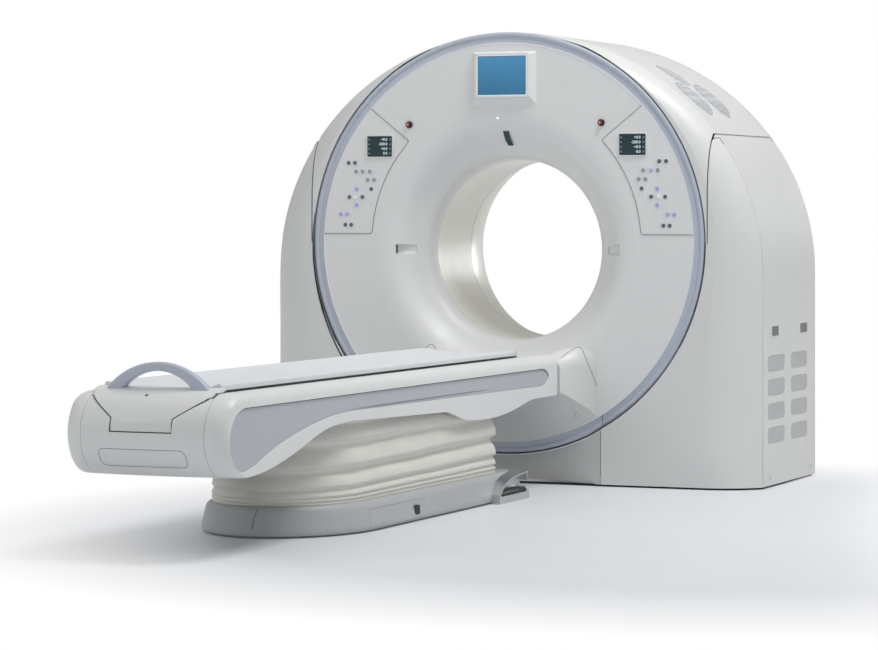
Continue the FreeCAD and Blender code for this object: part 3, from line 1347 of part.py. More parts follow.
# ---------------------------------------------------------------- couch: frame and lift
def trough():
    """The open channel that the end cap runs in, hung from the deck by its flanges."""
    gap, wall, deck = v.trough_gap, v.trough_wall, v.deck_top - v.couch_wall
    y = from_foot(v.trough_from)

    def section(grow):
        (half, low), (_, step), (wide, wide_z), (hip, hip_z), _ = tongue_points(grow)
        reach = wide + (hip - wide) * (deck - wide_z) / (hip_z - wide_z)
        return [(half, low), (half, step), (wide, wide_z), (reach, deck)]

    inner, outer = section(gap), section(gap + wall)
    outer[0] = (outer[0][0], v.plate_low + v.plate_thickness)
    edge_x, edge_z = outer[3]
    share = wall / (edge_z - outer[2][1])
    outer[3] = (edge_x - (edge_x - outer[2][0]) * share, deck - wall)
    brim = [(edge_x + v.trough_flange, deck - wall), (edge_x + v.trough_flange, deck)]
    right = outer + brim + list(reversed(inner))
    points = [Vector(x, y, z) for x, z in right] + [Vector(-x, y, z) for x, z in reversed(right)]
    return prism(polygon(points), Vector(0, v.trough_to - v.trough_from, 0))


def glide_pads():
    """U-shaped pads on the deck plate that the tabletop's rails slide through."""
    play, wall = v.rail_play, v.pad_wall
    base = v.deck_low + v.deck_thickness
    starts = [from_foot(v.glide_first), from_foot(v.glide_second),
              v.couch_head - v.glide_from_head]
    pads = []
    for y in starts:
        pad_block = block(v.rail_inner - play - wall, y, base, v.rail_outer + play + wall,
                          y + v.glide_length, v.rail_low + v.glide_height)
        slot = block(v.rail_inner - play, y - 1, v.rail_low - play, v.rail_outer + play,
                     y + v.glide_length + 1, v.rail_low + v.glide_height + 1)
        pads.append(pad_block.cut(slot))
    return pads


def couch_frame():
    """The underplate, two long beams, the trough, and the deck plate with its glide pads."""
    base = v.plate_low + v.plate_thickness
    half = v.plate_half_width
    plate = block(-half, from_foot(v.plate_from), v.plate_low, half, from_foot(v.plate_to), base)
    beam_foot = block(v.beam_inner, from_foot(v.trough_from), base, v.beam_outer,
                      from_foot(v.trough_to), v.beam_top)
    beam_head = block(v.beam_inner, from_foot(v.trough_to), base, v.beam_outer,
                      v.couch_head - v.head_corner - 2, v.deck_low)
    deck_half = v.couch_half_width - v.couch_wall - 1
    deck = block(-deck_half, from_foot(v.trough_to), v.deck_low, deck_half,
                 v.couch_head - v.head_corner - 2, v.deck_low + v.deck_thickness)
    right = [beam_foot, beam_head] + glide_pads()
    pieces = right + [reflected(piece) for piece in right] + [deck, trough()]
    keep(shaped("frame", plate.fuse(pieces).removeSplitter()), "couch_frame")


def table_drive():
    """The motor and its gearbox that push the tabletop, between the beams' head ends."""
    base_y = v.couch_head - 420
    low = v.plate_low + v.plate_thickness
    gearbox = block(-60, base_y, low, 60, base_y + 120, v.deck_low - 4)
    gearbox = gearbox.makeFillet(10, [edge for edge in gearbox.Edges if edge.BoundBox.YLength > 1
                                      and edge.BoundBox.ZMin > low + 1])
    motor = Part.makeCylinder(32, 180, Vector(0, base_y + 120, low + 36), Vector(0, 1, 0))
    foot = block(-v.beam_inner, base_y, low, v.beam_inner, base_y + 60, low + 10)
    keep(shaped("drive", gearbox.fuse([motor, foot]).removeSplitter()), "table_drive")


def stage(size, low, high, y):
    """One square tube of a lifting column."""
    outer = block(-size / 2, y - size / 2, low, size / 2, y + size / 2, high)
    outer = outer.makeFillet(10, [edge for edge in outer.Edges if edge.BoundBox.ZLength > 1])
    bore = size / 2 - v.column_wall
    return outer.cut(block(-bore, y - bore, low - 1, bore, y + bore, high + 1))


def lift_columns():
    """Two telescopic columns of three stages; the middle stages rise half as far."""
    base = v.plinth_height
    step = 2 * (v.column_wall + v.column_play)
    ends = {"lower": (v.column_size, base, base + v.column_lower),
            "middle": (v.column_size - step, base + 5, v.plate_low - 12),
            "upper": (v.column_size - 2 * step, base + 10, v.plate_low)}
    for name, (size, low, high) in ends.items():
        tubes = [stage(size, low, high, from_foot(at)) for at in (v.column_foot_at,
                                                                v.column_head_at)]
        keep(shaped("columns_" + name, Part.makeCompound(tubes)), f"column_{name}_stages")


def lift_motor():
    middle = (v.column_foot_at + v.column_head_at) / 2
    y = from_foot(middle)
    base = v.plinth_height
    motor = Part.makeCylinder(55, 190, Vector(0, y - 95, base + 62), Vector(0, 1, 0))
    foot = block(-70, y - 60, base, 70, y + 60, base + 30)
    shaft = Part.makeCylinder(14, 520, Vector(0, y - 260, base + 62), Vector(0, 1, 0))
    keep(shaped("motor", motor.fuse([foot, shaft]).removeSplitter()), "lift_motor")


# ---------------------------------------------------------------- couch: plinth, pedals, bellows
def boat_wire(half, foot_y, head_y, end_reach, corner, z):
    """A plan with a half-round foot end and small round corners at the head."""
    turn = foot_y + end_reach
    edges = [quarter(Vector(0, foot_y, z), Vector(half, foot_y, z), Vector(half, turn, z)),
             line(Vector(half, turn, z), Vector(half, head_y - corner, z)),
             quarter(Vector(half, head_y - corner, z), Vector(half, head_y, z),
                     Vector(half - corner, head_y, z)),
             line(Vector(half - corner, head_y, z), Vector(-half + corner, head_y, z)),
             quarter(Vector(-half + corner, head_y, z), Vector(-half, head_y, z),
                     Vector(-half, head_y - corner, z)),
             line(Vector(-half, head_y - corner, z), Vector(-half, turn, z)),
             quarter(Vector(-half, turn, z), Vector(-half, foot_y, z), Vector(0, foot_y, z))]
    return joined(edges)


# share of the roll-over and height of each level of the plinth's convex wall
PLINTH_WALL = [(0.0, 8.0), (0.1, 50.0), (0.27, 82.0), (0.5, 102.0), (0.75, 110.0), (1.0, 112.0)]


def plinth_level(share, z, shrink=0.0):
    inset = v.plinth_roll * share
    reach = v.plinth_end_reach + (v.plinth_top_reach - v.plinth_end_reach) * share
    return boat_wire(v.plinth_half_width - inset - shrink,
                     from_foot(v.plinth_foot_at) + inset * 0.6 + shrink,
                     from_foot(v.plinth_head_at) - inset - shrink, reach - shrink,
                     v.plinth_corner, z)


def plinth_form(shrink=0.0):
    """The grey plinth, whose wall rolls over into its top."""
    rise = (v.plinth_height - v.plinth_gap - shrink) / (PLINTH_WALL[-1][1] - PLINTH_WALL[0][1])
    levels = [(share, v.plinth_gap + (z - PLINTH_WALL[0][1]) * rise) for share, z in PLINTH_WALL]
    return Part.makeLoft([plinth_level(share, z, shrink) for share, z in levels], True, False)


def plinth_foot():
    """The set-back base that leaves a shadow gap over the floor."""
    return Part.Face(plinth_level(0, 0, v.plinth_foot_inset)).extrude(Vector(0, 0, v.plinth_gap))


def door_block(play):
    return block(v.plinth_half_width - v.plinth_roll - 4 + play, from_foot(v.door_from) + play,
                 v.door_low + play, v.plinth_half_width + 10, from_foot(v.door_to) - play,
                 v.door_high - play)


def plinth():
    base = plinth_form().fuse(plinth_foot()).cut(door_block(0))
    keep(shaped("plinth_body", base.removeSplitter()), "couch_base")
    latch = block(0, from_foot(v.latch_from), v.latch_low, v.plinth_half_width + 20,
                  from_foot(v.latch_from + v.latch_width), v.latch_high)
    latch = latch.makeFillet(8, [edge for edge in latch.Edges if edge.BoundBox.XLength > 1])
    door = plinth_form().common(door_block(1.0))
    keep(shaped("door", door.cut(latch.cut(plinth_form(5)))), "base_door")


def pedal_outline(x):
    """The guard from the side: a plate on the floor and a hood that sweeps over it."""
    start, end = from_foot(v.pedal_from), from_foot(v.pedal_to)
    plate, hood = v.pedal_plate, v.pedal_hood
    nose = curve([Vector(x, start, plate + 8), Vector(x, start + 60, hood * 0.68),
                  Vector(x, start + 150, hood * 0.88), Vector(x, end - 10, hood)])
    return joined([line(Vector(x, start, 0), Vector(x, start, plate + 8)), nose.toShape(),
                   line(Vector(x, end - 10, hood), Vector(x, end - 22, hood - 30)),
                   line(Vector(x, end - 22, hood - 30), Vector(x, end - 50, plate + 26)),
                   line(Vector(x, end - 50, plate + 26), Vector(x, end, plate)),
                   line(Vector(x, end, plate), Vector(x, end, 0)),
                   line(Vector(x, end, 0), Vector(x, start, 0))])


def pedals():
    """Two foot pedals hinged at the plinth under a metal guard."""
    inner_x = v.plinth_half_width + 1
    outer_x = inner_x + v.pedal_reach
    start, end = from_foot(v.pedal_from), from_foot(v.pedal_to)
    plate, hood = v.pedal_plate, v.pedal_hood
    back_x = v.plinth_half_width - v.plinth_roll - 4
    body = prism(pedal_outline(back_x), Vector(outer_x - back_x, 0, 0))
    body = body.cut(plinth_form().fuse(plinth_foot()))
    cave = pedal_outline(inner_x + 2)
    cave_face = Part.Face(cave).extrude(Vector(outer_x, 0, 0))
    cave_face.translate(Vector(0, 4, -7))
    cave_face = cave_face.common(block(inner_x, start + 14, plate, outer_x + 5, end - 30, hood))
    guard = body.cut(cave_face)
    solids = sorted(guard.Solids, key=lambda solid: solid.Volume)
    keep(shaped("guard", solids[-1]), "pedal_guard")
    hinge_x, hinge_z = inner_x + 8, plate + 14
    width = (end - start - 110) / 2
    for index, name in enumerate(("pedal_down", "pedal_up")):
        y = start + 42 + index * (width + 6)
        tread = polygon([Vector(hinge_x, y, hinge_z - 4), Vector(outer_x + 4, y, plate + 17),
                         Vector(outer_x + 4, y, plate + 22), Vector(hinge_x, y, hinge_z + 6)])
        pedal = prism(tread, Vector(0, width, 0))
        pedal = pedal.fuse(Part.makeCylinder(5, width, Vector(hinge_x, y, hinge_z + 1),
                                             Vector(0, 1, 0)))
        keep(shaped(name + "_tread", pedal.removeSplitter()), name)


BELLOWS_FOLDS = [112.3, 124.0, 136.0, 148.0, 176.0, 250.0, 345.0, 411.7]


def bellows_level(inset, z):
    return boat_wire(v.bellows_half_width - inset, from_foot(v.bellows_foot_at) + inset,
                     from_foot(v.bellows_head_at) - inset, v.bellows_end_reach - inset,
                     v.bellows_corner, z)


def bellows():
    """A soft cover of scalloped folds between the plinth and the couch's underplate."""
    low, high = v.plinth_height + 0.3, v.plate_low - 0.3
    span = (high - low) / (BELLOWS_FOLDS[-1] - BELLOWS_FOLDS[0])
    folds = [low + (z - BELLOWS_FOLDS[0]) * span for z in BELLOWS_FOLDS]
    steps = (0.0, 0.18, 0.5, 0.82)
    levels = []
    for bottom, top in zip(folds, folds[1:]):
        depth = v.bellows_depth * min(1.0, 0.14 + (top - bottom) / 100)
        for step in steps:
            levels.append((depth * math.sin(math.pi * step), bottom + (top - bottom) * step))
    levels.append((0.0, folds[-1]))
    skins = []
    for extra in (0.0, v.bellows_wall):
        wires = [bellows_level(inset + extra, z) for inset, z in levels]
        skins.append(Part.makeLoft(wires, True, True))
    keep(shaped("gaiter", skins[0].cut(skins[1])), "bellows")


# ---------------------------------------------------------------- build, check and write
def build():
    floor_pads()
    gantry_base_frame()
    stator()
    bearing()
    ring_motor()
    slip_ring()
    rotor_drum()
    xray_tube()
    rotor_load()
    front_disc_cover()
    bore_liner()
    rear_funnel()
    bevel_ring()
    front_covers()
    side_covers()
    side_louvres()
    roof_grilles()
    rear_cover()
    toe_cover()
    neck_fairing()
    control_panels()
    panel_keys()
    panel_displays()
    monitor()
    face_windows()
    emergency_stops()
    skin = couch_skin()
    couch_shell(skin)
    side_panels()
    foot_end_cap(skin)
    tabletop_end_cap()
    handle()
    tabletop()
    couch_frame()
    table_drive()
    lift_columns()
    lift_motor()
    plinth()
    pedals()
    bellows()


def check_and_write():
    doc.recompute()
    for item in doc.Objects:
        broken = [state for state in item.State if state in ("Invalid", "Error")]
        if broken:
            raise RuntimeError(f"{item.Name} is {broken}")
    os.makedirs("parts", exist_ok=True)
    poor = [item.Label for item in PARTS if item.Shape.isNull() or not item.Shape.isValid()
            or not item.Shape.Solids]
    if poor:
        raise RuntimeError(f"no valid solid: {poor}")
    for item in PARTS:
        item.Shape.exportStep(f"parts/{item.Label}.step")
        litres = item.Shape.Volume / 1e6
        print(f"{item.Label}: {len(item.Shape.Solids)} solid(s), {litres:.2f} litres")


build()
check_and_write()
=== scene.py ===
"""The looks of the computed tomography scanner: its finishes, soft bellows, keys, displays,
trim, studio light and camera. Everything is in metres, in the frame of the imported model."""
import math

import bmesh
import bpy
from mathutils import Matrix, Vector
from mathutils.geometry import convex_hull_2d
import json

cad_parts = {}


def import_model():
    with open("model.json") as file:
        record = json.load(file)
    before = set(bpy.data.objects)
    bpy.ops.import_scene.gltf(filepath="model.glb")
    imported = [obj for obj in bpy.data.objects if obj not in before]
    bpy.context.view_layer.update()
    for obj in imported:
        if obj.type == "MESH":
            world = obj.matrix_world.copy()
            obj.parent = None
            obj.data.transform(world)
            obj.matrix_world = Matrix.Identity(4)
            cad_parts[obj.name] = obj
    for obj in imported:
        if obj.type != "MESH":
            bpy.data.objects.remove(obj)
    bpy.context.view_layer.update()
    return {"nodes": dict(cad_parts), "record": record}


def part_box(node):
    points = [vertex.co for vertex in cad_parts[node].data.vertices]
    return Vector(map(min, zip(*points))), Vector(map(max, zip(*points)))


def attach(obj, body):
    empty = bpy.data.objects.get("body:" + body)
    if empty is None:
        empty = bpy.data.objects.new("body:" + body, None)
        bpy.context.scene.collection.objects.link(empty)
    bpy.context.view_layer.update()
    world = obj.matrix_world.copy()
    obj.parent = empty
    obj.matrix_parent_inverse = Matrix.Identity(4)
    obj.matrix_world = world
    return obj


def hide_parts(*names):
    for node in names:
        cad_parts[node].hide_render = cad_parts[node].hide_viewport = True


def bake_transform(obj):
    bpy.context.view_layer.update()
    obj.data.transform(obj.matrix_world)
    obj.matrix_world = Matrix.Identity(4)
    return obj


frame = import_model()
NODES = frame["nodes"]


# ---------------------------------------------------------------- colours and node helpers
def tint(red, green, blue):
    """A colour written as it looks on a screen, 0 to 255, in the renderer's linear values."""
    def linear(level):
        share = level / 255
        return share / 12.92 if share <= 0.04045 else ((share + 0.055) / 1.055) ** 2.4
    return (linear(red), linear(green), linear(blue), 1.0)


def shade(colour, factor):
    """A colour made darker by a factor."""
    return tuple(channel * factor for channel in colour[:3]) + (1.0,)


class Finish:
    """A material in the making: its node tree, its shader and short ways to add nodes."""

    def __init__(self, name):
        self.material = bpy.data.materials.new(name)
        self.material.use_nodes = True
        self.tree = self.material.node_tree
        self.shader = self.tree.nodes["Principled BSDF"]
        self.places = self.add("ShaderNodeTexCoord").outputs["Object"]

    def add(self, kind, **settings):
        """A new node of a kind, with its settings."""
        node = self.tree.nodes.new(kind)
        for name, value in settings.items():
            setattr(node, name, value)
        return node

    def link(self, output, target):
        """Join an output socket to an input socket."""
        self.tree.links.new(output, target)

    def stretched(self, scale, turn=(0, 0, 0)):
        """Object coordinates scaled along each axis."""
        mapping = self.add("ShaderNodeMapping")
        mapping.inputs["Scale"].default_value = scale
        mapping.inputs["Rotation"].default_value = turn
        self.link(self.places, mapping.inputs["Vector"])
        return mapping.outputs["Vector"]

    def noise(self, scale, detail=2.0, stretch=(1, 1, 1)):
        """The factor of a noise texture over the object."""
        node = self.add("ShaderNodeTexNoise")
        node.inputs["Scale"].default_value = scale
        node.inputs["Detail"].default_value = detail
        self.link(self.stretched(stretch), node.inputs["Vector"])
        return node.outputs["Fac"]

    def ranged(self, value, low, high, source=(0.3, 0.7)):
        """A value spread from one range to another."""
        node = self.add("ShaderNodeMapRange")
        node.inputs["From Min"].default_value = source[0]
        node.inputs["From Max"].default_value = source[1]
        node.inputs["To Min"].default_value = low
        node.inputs["To Max"].default_value = high
        self.link(value, node.inputs["Value"])
        return node.outputs["Result"]

    def mixed(self, factor, first, second):
        """Two colours mixed by a factor; either may be a colour or a socket."""
        node = self.add("ShaderNodeMix", data_type="RGBA")
        self.link(factor, node.inputs["Factor"])
        for value, socket in ((first, node.inputs[6]), (second, node.inputs[7])):
            if isinstance(value, tuple):
                socket.default_value = value
            else:
                self.link(value, socket)
        return node.outputs[2]

    def bump(self, height, strength, distance, normal=None):
        """Raise the surface by a height, on top of an earlier bump where one is given."""
        node = self.add("ShaderNodeBump")
        node.inputs["Strength"].default_value = strength
        node.inputs["Distance"].default_value = distance
        self.link(height, node.inputs["Height"])
        if normal is not None:
            self.link(normal, node.inputs["Normal"])
        self.link(node.outputs["Normal"], self.shader.inputs["Normal"])
        return node.outputs["Normal"]

    def paint(self, source):
        """Take the surface's colour from a socket."""
        self.link(source, self.shader.inputs["Base Color"])

    def constant(self, **sockets):
        """Set shader sockets that are the same all over; underscores stand for spaces."""
        for name, value in sockets.items():
            self.shader.inputs[name.replace("_", " ")].default_value = value


# ---------------------------------------------------------------- finishes
def moulded(name, colour, rough=(0.34, 0.46), mottle=0.03, grain=0.5, **sockets):
    """Satin moulded plastic or paint: faint mottling, uneven gloss and a fine orange peel."""
    finish = Finish(name)
    broad = finish.noise(1.7, 3.0)
    finish.paint(finish.mixed(finish.ranged(broad, 0.0, 1.0), shade(colour, 1 - mottle), colour))
    finish.link(finish.ranged(finish.noise(9.0, 4.0), *rough), finish.shader.inputs["Roughness"])
    finish.bump(finish.noise(620.0, 1.0), grain * 0.12, 0.0006)
    finish.constant(**sockets)
    return finish.material


def brushed(name, colour, rough=(0.28, 0.42), along=(1, 60, 60)):
    """Ground or brushed metal with fine lines along one way."""
    finish = Finish(name)
    lines = finish.noise(22.0, 4.0, along)
    finish.paint(finish.mixed(finish.ranged(lines, 0.0, 1.0), shade(colour, 0.82), colour))
    finish.link(finish.ranged(lines, *rough), finish.shader.inputs["Roughness"])
    finish.bump(lines, 0.15, 0.0004)
    finish.constant(Metallic=1.0)
    return finish.material


def gaiter_cloth(name, colour):
    """Soft coated cloth: a fine weave, slow creases and colour a little darker along the crease
    noise.
    """
    finish = Finish(name)
    creases = finish.noise(9.0, 5.0, (1.0, 1.0, 5.0))
    patches = finish.noise(2.6, 3.0)
    worn = finish.mixed(finish.ranged(patches, 0.0, 1.0), shade(colour, 0.93), colour)
    finish.paint(finish.mixed(finish.ranged(creases, 0.0, 0.5), worn, shade(colour, 0.9)))
    finish.link(finish.ranged(creases, 0.5, 0.66), finish.shader.inputs["Roughness"])
    weave = finish.add("ShaderNodeTexVoronoi")
    weave.inputs["Scale"].default_value = 900.0
    finish.link(finish.places, weave.inputs["Vector"])
    woven = finish.bump(weave.outputs["Distance"], 0.12, 0.0004)
    finish.bump(creases, 0.3, 0.006, woven)
    finish.constant(Sheen_Weight=0.15, Sheen_Roughness=0.5)
    return finish.material


def perforated(name, colour, hole, pitch):
    """A sheet with rows of small round holes."""
    finish = Finish(name)
    cells = finish.add("ShaderNodeTexVoronoi")
    cells.inputs["Scale"].default_value = 1.0
    cells.inputs["Randomness"].default_value = 0.0
    finish.link(finish.stretched((1 / pitch,) * 3), cells.inputs["Vector"])
    edge = finish.ranged(cells.outputs["Distance"], 0.0, 1.0, (0.30, 0.36))
    finish.paint(finish.mixed(edge, hole, colour))
    finish.link(finish.ranged(edge, 0.75, 0.45, (0, 1)), finish.shader.inputs["Roughness"])
    finish.bump(edge, 0.6, 0.001)
    return finish.material


def glowing(name, low, high, strength, z_low, z_high):
    """A lit panel whose colour runs from low to high between two heights."""
    finish = Finish(name)
    split = finish.add("ShaderNodeSeparateXYZ")
    finish.link(finish.places, split.inputs["Vector"])
    height = finish.ranged(split.outputs["Z"], 0.0, 1.0, (z_low, z_high))
    faint = finish.ranged(finish.noise(6.0, 2.0), -0.06, 0.06)
    mix = finish.add("ShaderNodeMath", operation="ADD")
    finish.link(height, mix.inputs[0])
    finish.link(faint, mix.inputs[1])
    colour = finish.mixed(mix.outputs["Value"], low, high)
    finish.paint(colour)
    finish.link(colour, finish.shader.inputs["Emission Color"])
    finish.link(finish.ranged(finish.noise(40.0), 0.12, 0.2), finish.shader.inputs["Roughness"])
    finish.constant(Emission_Strength=strength, Coat_Weight=0.3, Coat_Roughness=0.1)
    return finish.material


def wound_coils(name, colour, gap):
    """Copper windings: fine turns across with a coated gloss."""
    finish = Finish(name)
    turns = finish.add("ShaderNodeTexWave", wave_type="RINGS", rings_direction="Y")
    turns.inputs["Scale"].default_value = 90.0
    finish.link(finish.places, turns.inputs["Vector"])
    finish.paint(finish.mixed(turns.outputs["Fac"], gap, colour))
    finish.link(finish.ranged(finish.noise(30.0), 0.3, 0.45), finish.shader.inputs["Roughness"])
    finish.bump(turns.outputs["Fac"], 0.3, 0.001)
    finish.constant(Metallic=0.9)
    return finish.material


WHITE = tint(222, 223, 222)
INK = tint(38, 40, 44)
screen_low, screen_high = (corner.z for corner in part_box("monitor_screen"))

FINISHES = {
    "white_cover": moulded("white_cover", WHITE),
    "cream_cover": moulded("cream_cover", tint(238, 236, 229), rough=(0.3, 0.4)),
    "ring_blue": moulded("ring_blue", tint(188, 195, 209), rough=(0.3, 0.4)),
    "panel_lilac": moulded("panel_lilac", tint(186, 188, 195), rough=(0.42, 0.55)),
    "cradle_grey": moulded("cradle_grey", tint(225, 227, 230), rough=(0.4, 0.52)),
    "bellows_cream": gaiter_cloth("bellows_cream", tint(226, 224, 216)),
    "plinth_grey": moulded("plinth_grey", tint(178, 181, 183), rough=(0.38, 0.5), mottle=0.05),
    "vent_grey": moulded("vent_grey", tint(206, 207, 209), rough=(0.45, 0.6)),
    "display_dark": moulded("display_dark", tint(40, 62, 70), rough=(0.1, 0.18), grain=0.1),
    "screen_blue": glowing("screen_blue", tint(44, 104, 138), tint(66, 134, 178), 0.34,
                           screen_low, screen_high),
    "key_grey": moulded("key_grey", tint(224, 226, 230), rough=(0.3, 0.4)),
    "stop_red": moulded("stop_red", tint(122, 40, 38), rough=(0.25, 0.35)),
    "guard_metal": brushed("guard_metal", tint(214, 216, 218)),
    "pedal_black": moulded("pedal_black", tint(62, 64, 66), rough=(0.6, 0.75), grain=3.0),
    "frame_paint": moulded("frame_paint", tint(150, 154, 160), rough=(0.5, 0.6), grain=2.0),
    "bare_steel": brushed("bare_steel", tint(190, 192, 196)),
    "cast_alloy": moulded("cast_alloy", tint(196, 198, 202), rough=(0.35, 0.5), grain=3.0,
                          Metallic=0.9),
    "coil_copper": wound_coils("coil_copper", tint(200, 132, 84), tint(90, 52, 34)),
    "magnet_steel": moulded("magnet_steel", tint(120, 122, 128), rough=(0.3, 0.4), Metallic=0.8),
    "unit_grey": moulded("unit_grey", tint(170, 176, 184), rough=(0.4, 0.5), grain=1.5),
}


# nodes whose colour departs a little from their slot's
NODE_FINISHES = (
    (("roof_grilles",), perforated("grille_mesh", tint(206, 208, 212), tint(96, 98, 102), 0.006)),
    # painted light: the round front, keypad plates and monitor housing take a lighter copy of the
    # cover white, which brightens the front face
    (("front_disc_cover", "control_panels", "monitor_housing"),
     moulded("disc_cover", tint(232, 233, 233))),
    (("couch_shell", "foot_end_cap", "tabletop_end_cap"),
     moulded("couch_white", tint(226, 228, 227))),
    (("estop_collars",), moulded("collar_dark", tint(62, 50, 50))),
)


def dress_nodes():
    """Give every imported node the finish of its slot, and some nodes a finish of their own."""
    for entry in frame["record"]["subparts"]:
        node = NODES[entry["node"]]
        node.data.materials.clear()
        node.data.materials.append(FINISHES[entry["material_slot"]])
    for names, finish in NODE_FINISHES:
        for name in names:
            NODES[name].data.materials[0] = finish


dress_nodes()


# ---------------------------------------------------------------- piece helpers
def mesh_piece(name, points, faces, material, body, slot):
    """A mesh that rides on a body, smooth where its faces meet gently."""
    mesh = bpy.data.meshes.new(name)
    mesh.from_pydata([tuple(point) for point in points], [], faces)
    mesh.materials.append(material)
    mesh.polygons.foreach_set("use_smooth", [True] * len(mesh.polygons))
    mesh.set_sharp_from_angle(angle=math.radians(38))
    piece = bpy.data.objects.new(name, mesh)
    bpy.context.scene.collection.objects.link(piece)
    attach(piece, body)
    return piece


def stacked_rings(rings, closed=False):
    """Points and faces of a skin through rings with the same number of points."""
    count = len(rings[0])
    points = [point for ring in rings for point in ring]
    faces = []
    rows = len(rings) if closed else len(rings) - 1
    for row in range(rows):
        here, above = row * count, (row + 1) % len(rings) * count
        for index in range(count):
            after = (index + 1) % count
            faces.append((here + index, here + after, above + after, above + index))
    return points, faces


def lathe_at(centre, profile, sides=28):
    """Rings of a small turned piece that faces the couch; profile rows are (radius, rise)."""
    rings = []
    for radius, rise in profile:
        ring = []
        for index in range(sides):
            angle = 2 * math.pi * index / sides
            ring.append(centre + Vector((radius * math.cos(angle), -rise,
                                         radius * math.sin(angle))))
        rings.append(ring)
    return rings


def gathered(parts):
    """Several point and face lists as one."""
    points, faces = [], []
    for more_points, more_faces in parts:
        base = len(points)
        points += more_points
        faces += [tuple(base + index for index in face) for face in more_faces]
    return points, faces


def caps(rings):
    """A skin through rings, closed at both ends."""
    points, faces = stacked_rings(rings)
    count, last = len(rings[0]), len(points)
    faces.append(tuple(range(count)))
    faces.append(tuple(range(last - 1, last - count - 1, -1)))
    return points, faces


def turned(name, spots, profile, material, body, slot):
    """Small turned pieces; each spot is a centre and the way that the piece faces."""
    parts = []
    for centre, way in spots:
        turn = Vector((0, -1, 0)).rotation_difference(Vector(way).normalized())
        rings = lathe_at(Vector((0, 0, 0)), profile)
        parts.append(caps([[Vector(centre) + turn @ point for point in ring] for ring in rings]))
    mesh_piece(name, *gathered(parts), material, body, slot)


def bar_block(low, high):
    """A box between two corners as points and faces."""
    points = [Vector((x, y, z)) for x in (low[0], high[0]) for y in (low[1], high[1])
              for z in (low[2], high[2])]
    faces = [(0, 1, 3, 2), (4, 6, 7, 5), (0, 4, 5, 1), (2, 3, 7, 6), (0, 2, 6, 4), (1, 5, 7, 3)]
    return points, faces


def rounded_loop(half_x, half_z, radius, steps=6):
    """A rounded rectangle about the origin as (x, z) points."""
    loop = []
    for sign_x, sign_z, start in ((1, 1, 0), (-1, 1, 90), (-1, -1, 180), (1, -1, 270)):
        for step in range(steps + 1):
            angle = math.radians(start + 90 * step / steps)
            loop.append((sign_x * (half_x - radius) + radius * math.cos(angle),
                         sign_z * (half_z - radius) + radius * math.sin(angle)))
    return loop


def rounded_plate(side, inner, outer, y, z, half_y, half_z, radius):
    """A plate with round corners that faces sideways, as point and face lists."""
    chamfer = 0.001
    loop = rounded_loop(half_y, half_z, radius, 5)
    rings = []
    for x, shrink in ((inner, 0.0), (outer - chamfer, 0.0), (outer, chamfer)):
        scale_y, scale_z = 1 - shrink / half_y, 1 - shrink / half_z
        rings.append([Vector((side * x, y + a * scale_y, z + b * scale_z)) for a, b in loop])
    return caps(rings)


def face_frame(centre, half_x, half_z, width, rise, radius):
    """A raised rounded frame on the face, as point and face lists."""
    def ring(grow, height):
        loop = rounded_loop(half_x + grow, half_z + grow, max(radius + grow, 0.001))
        return [centre + Vector((x, -height, z)) for x, z in loop]

    rings = [ring(0, 0), ring(0, rise * 0.7), ring(width * 0.25, rise), ring(width * 0.75, rise),
             ring(width, rise * 0.6), ring(width, 0)]
    return stacked_rings(rings, closed=True)


def strip(name, path, radius, material, body, closed=False, tapered=False):
    """A thin round line along a path, drawn as a joint between two covers, as painted shade in a
    groove and as a painted highlight on a rim;
    a tapered one fades in and out over a sixth of its length."""
    curve = bpy.data.curves.new(name, "CURVE")
    curve.dimensions = "3D"
    curve.bevel_depth = radius
    curve.bevel_resolution = 2
    spline = curve.splines.new("POLY")
    spline.points.add(len(path) - 1)
    for index, (spot, point) in enumerate(zip(path, spline.points)):
        point.co = (*spot, 1.0)
        if tapered:
            point.radius = min(1.0, 6 * min(index, len(path) - 1 - index) / len(path))
    spline.use_cyclic_u = closed
    curve.materials.append(material)
    piece = bpy.data.objects.new(name, curve)
    bpy.context.scene.collection.objects.link(piece)
    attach(piece, body)


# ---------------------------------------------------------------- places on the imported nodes
# the photograph's camera, solved from the bore and the couch
VIEWPOINT = Vector((5.07855, -12.92822, 1.19839))
VIEW_TURN = math.radians(23.39)
LENS, SENSOR, SHIFT = 128.03, 36.0, -0.1381
PHOTO_WIDTH, PHOTO_HEIGHT = 878, 650

FORWARDS, BACKWARDS = (0, 1, 0), (0, -1, 0)     # rays towards the gantry's rear and its front
PROUD = 0.0003                                  # how far a drawn line stands off its cover

disc_low, disc_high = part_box("front_disc_cover")
DISC_Z = (disc_low.z + disc_high.z) / 2         # the height of the round front's middle


def cast(node, start, way, rise=PROUD):
    """The point where a ray meets a node, a little proud of it, or None."""
    hit, spot, normal, _ = NODES[node].ray_cast(Vector(start), Vector(way))
    return spot + normal * rise if hit else None


def cast_path(node, starts, way, rise=PROUD):
    """The points where parallel rays meet a node; those that miss it are left out."""
    spots = [cast(node, start, way, rise) for start in starts]
    return [spot for spot in spots if spot is not None]


def sighted(column, row, node, rise=PROUD):
    """The point of a node that the photograph shows at a column and row, or None."""
    across = (column - PHOTO_WIDTH / 2) / PHOTO_WIDTH * SENSOR / LENS
    upward = ((PHOTO_HEIGHT / 2 - row) / PHOTO_WIDTH + SHIFT) * SENSOR / LENS
    sine, cosine = math.sin(VIEW_TURN), math.cos(VIEW_TURN)
    way = Vector((across * cosine - sine, across * sine + cosine, upward)).normalized()
    return cast(node, VIEWPOINT, way, rise)


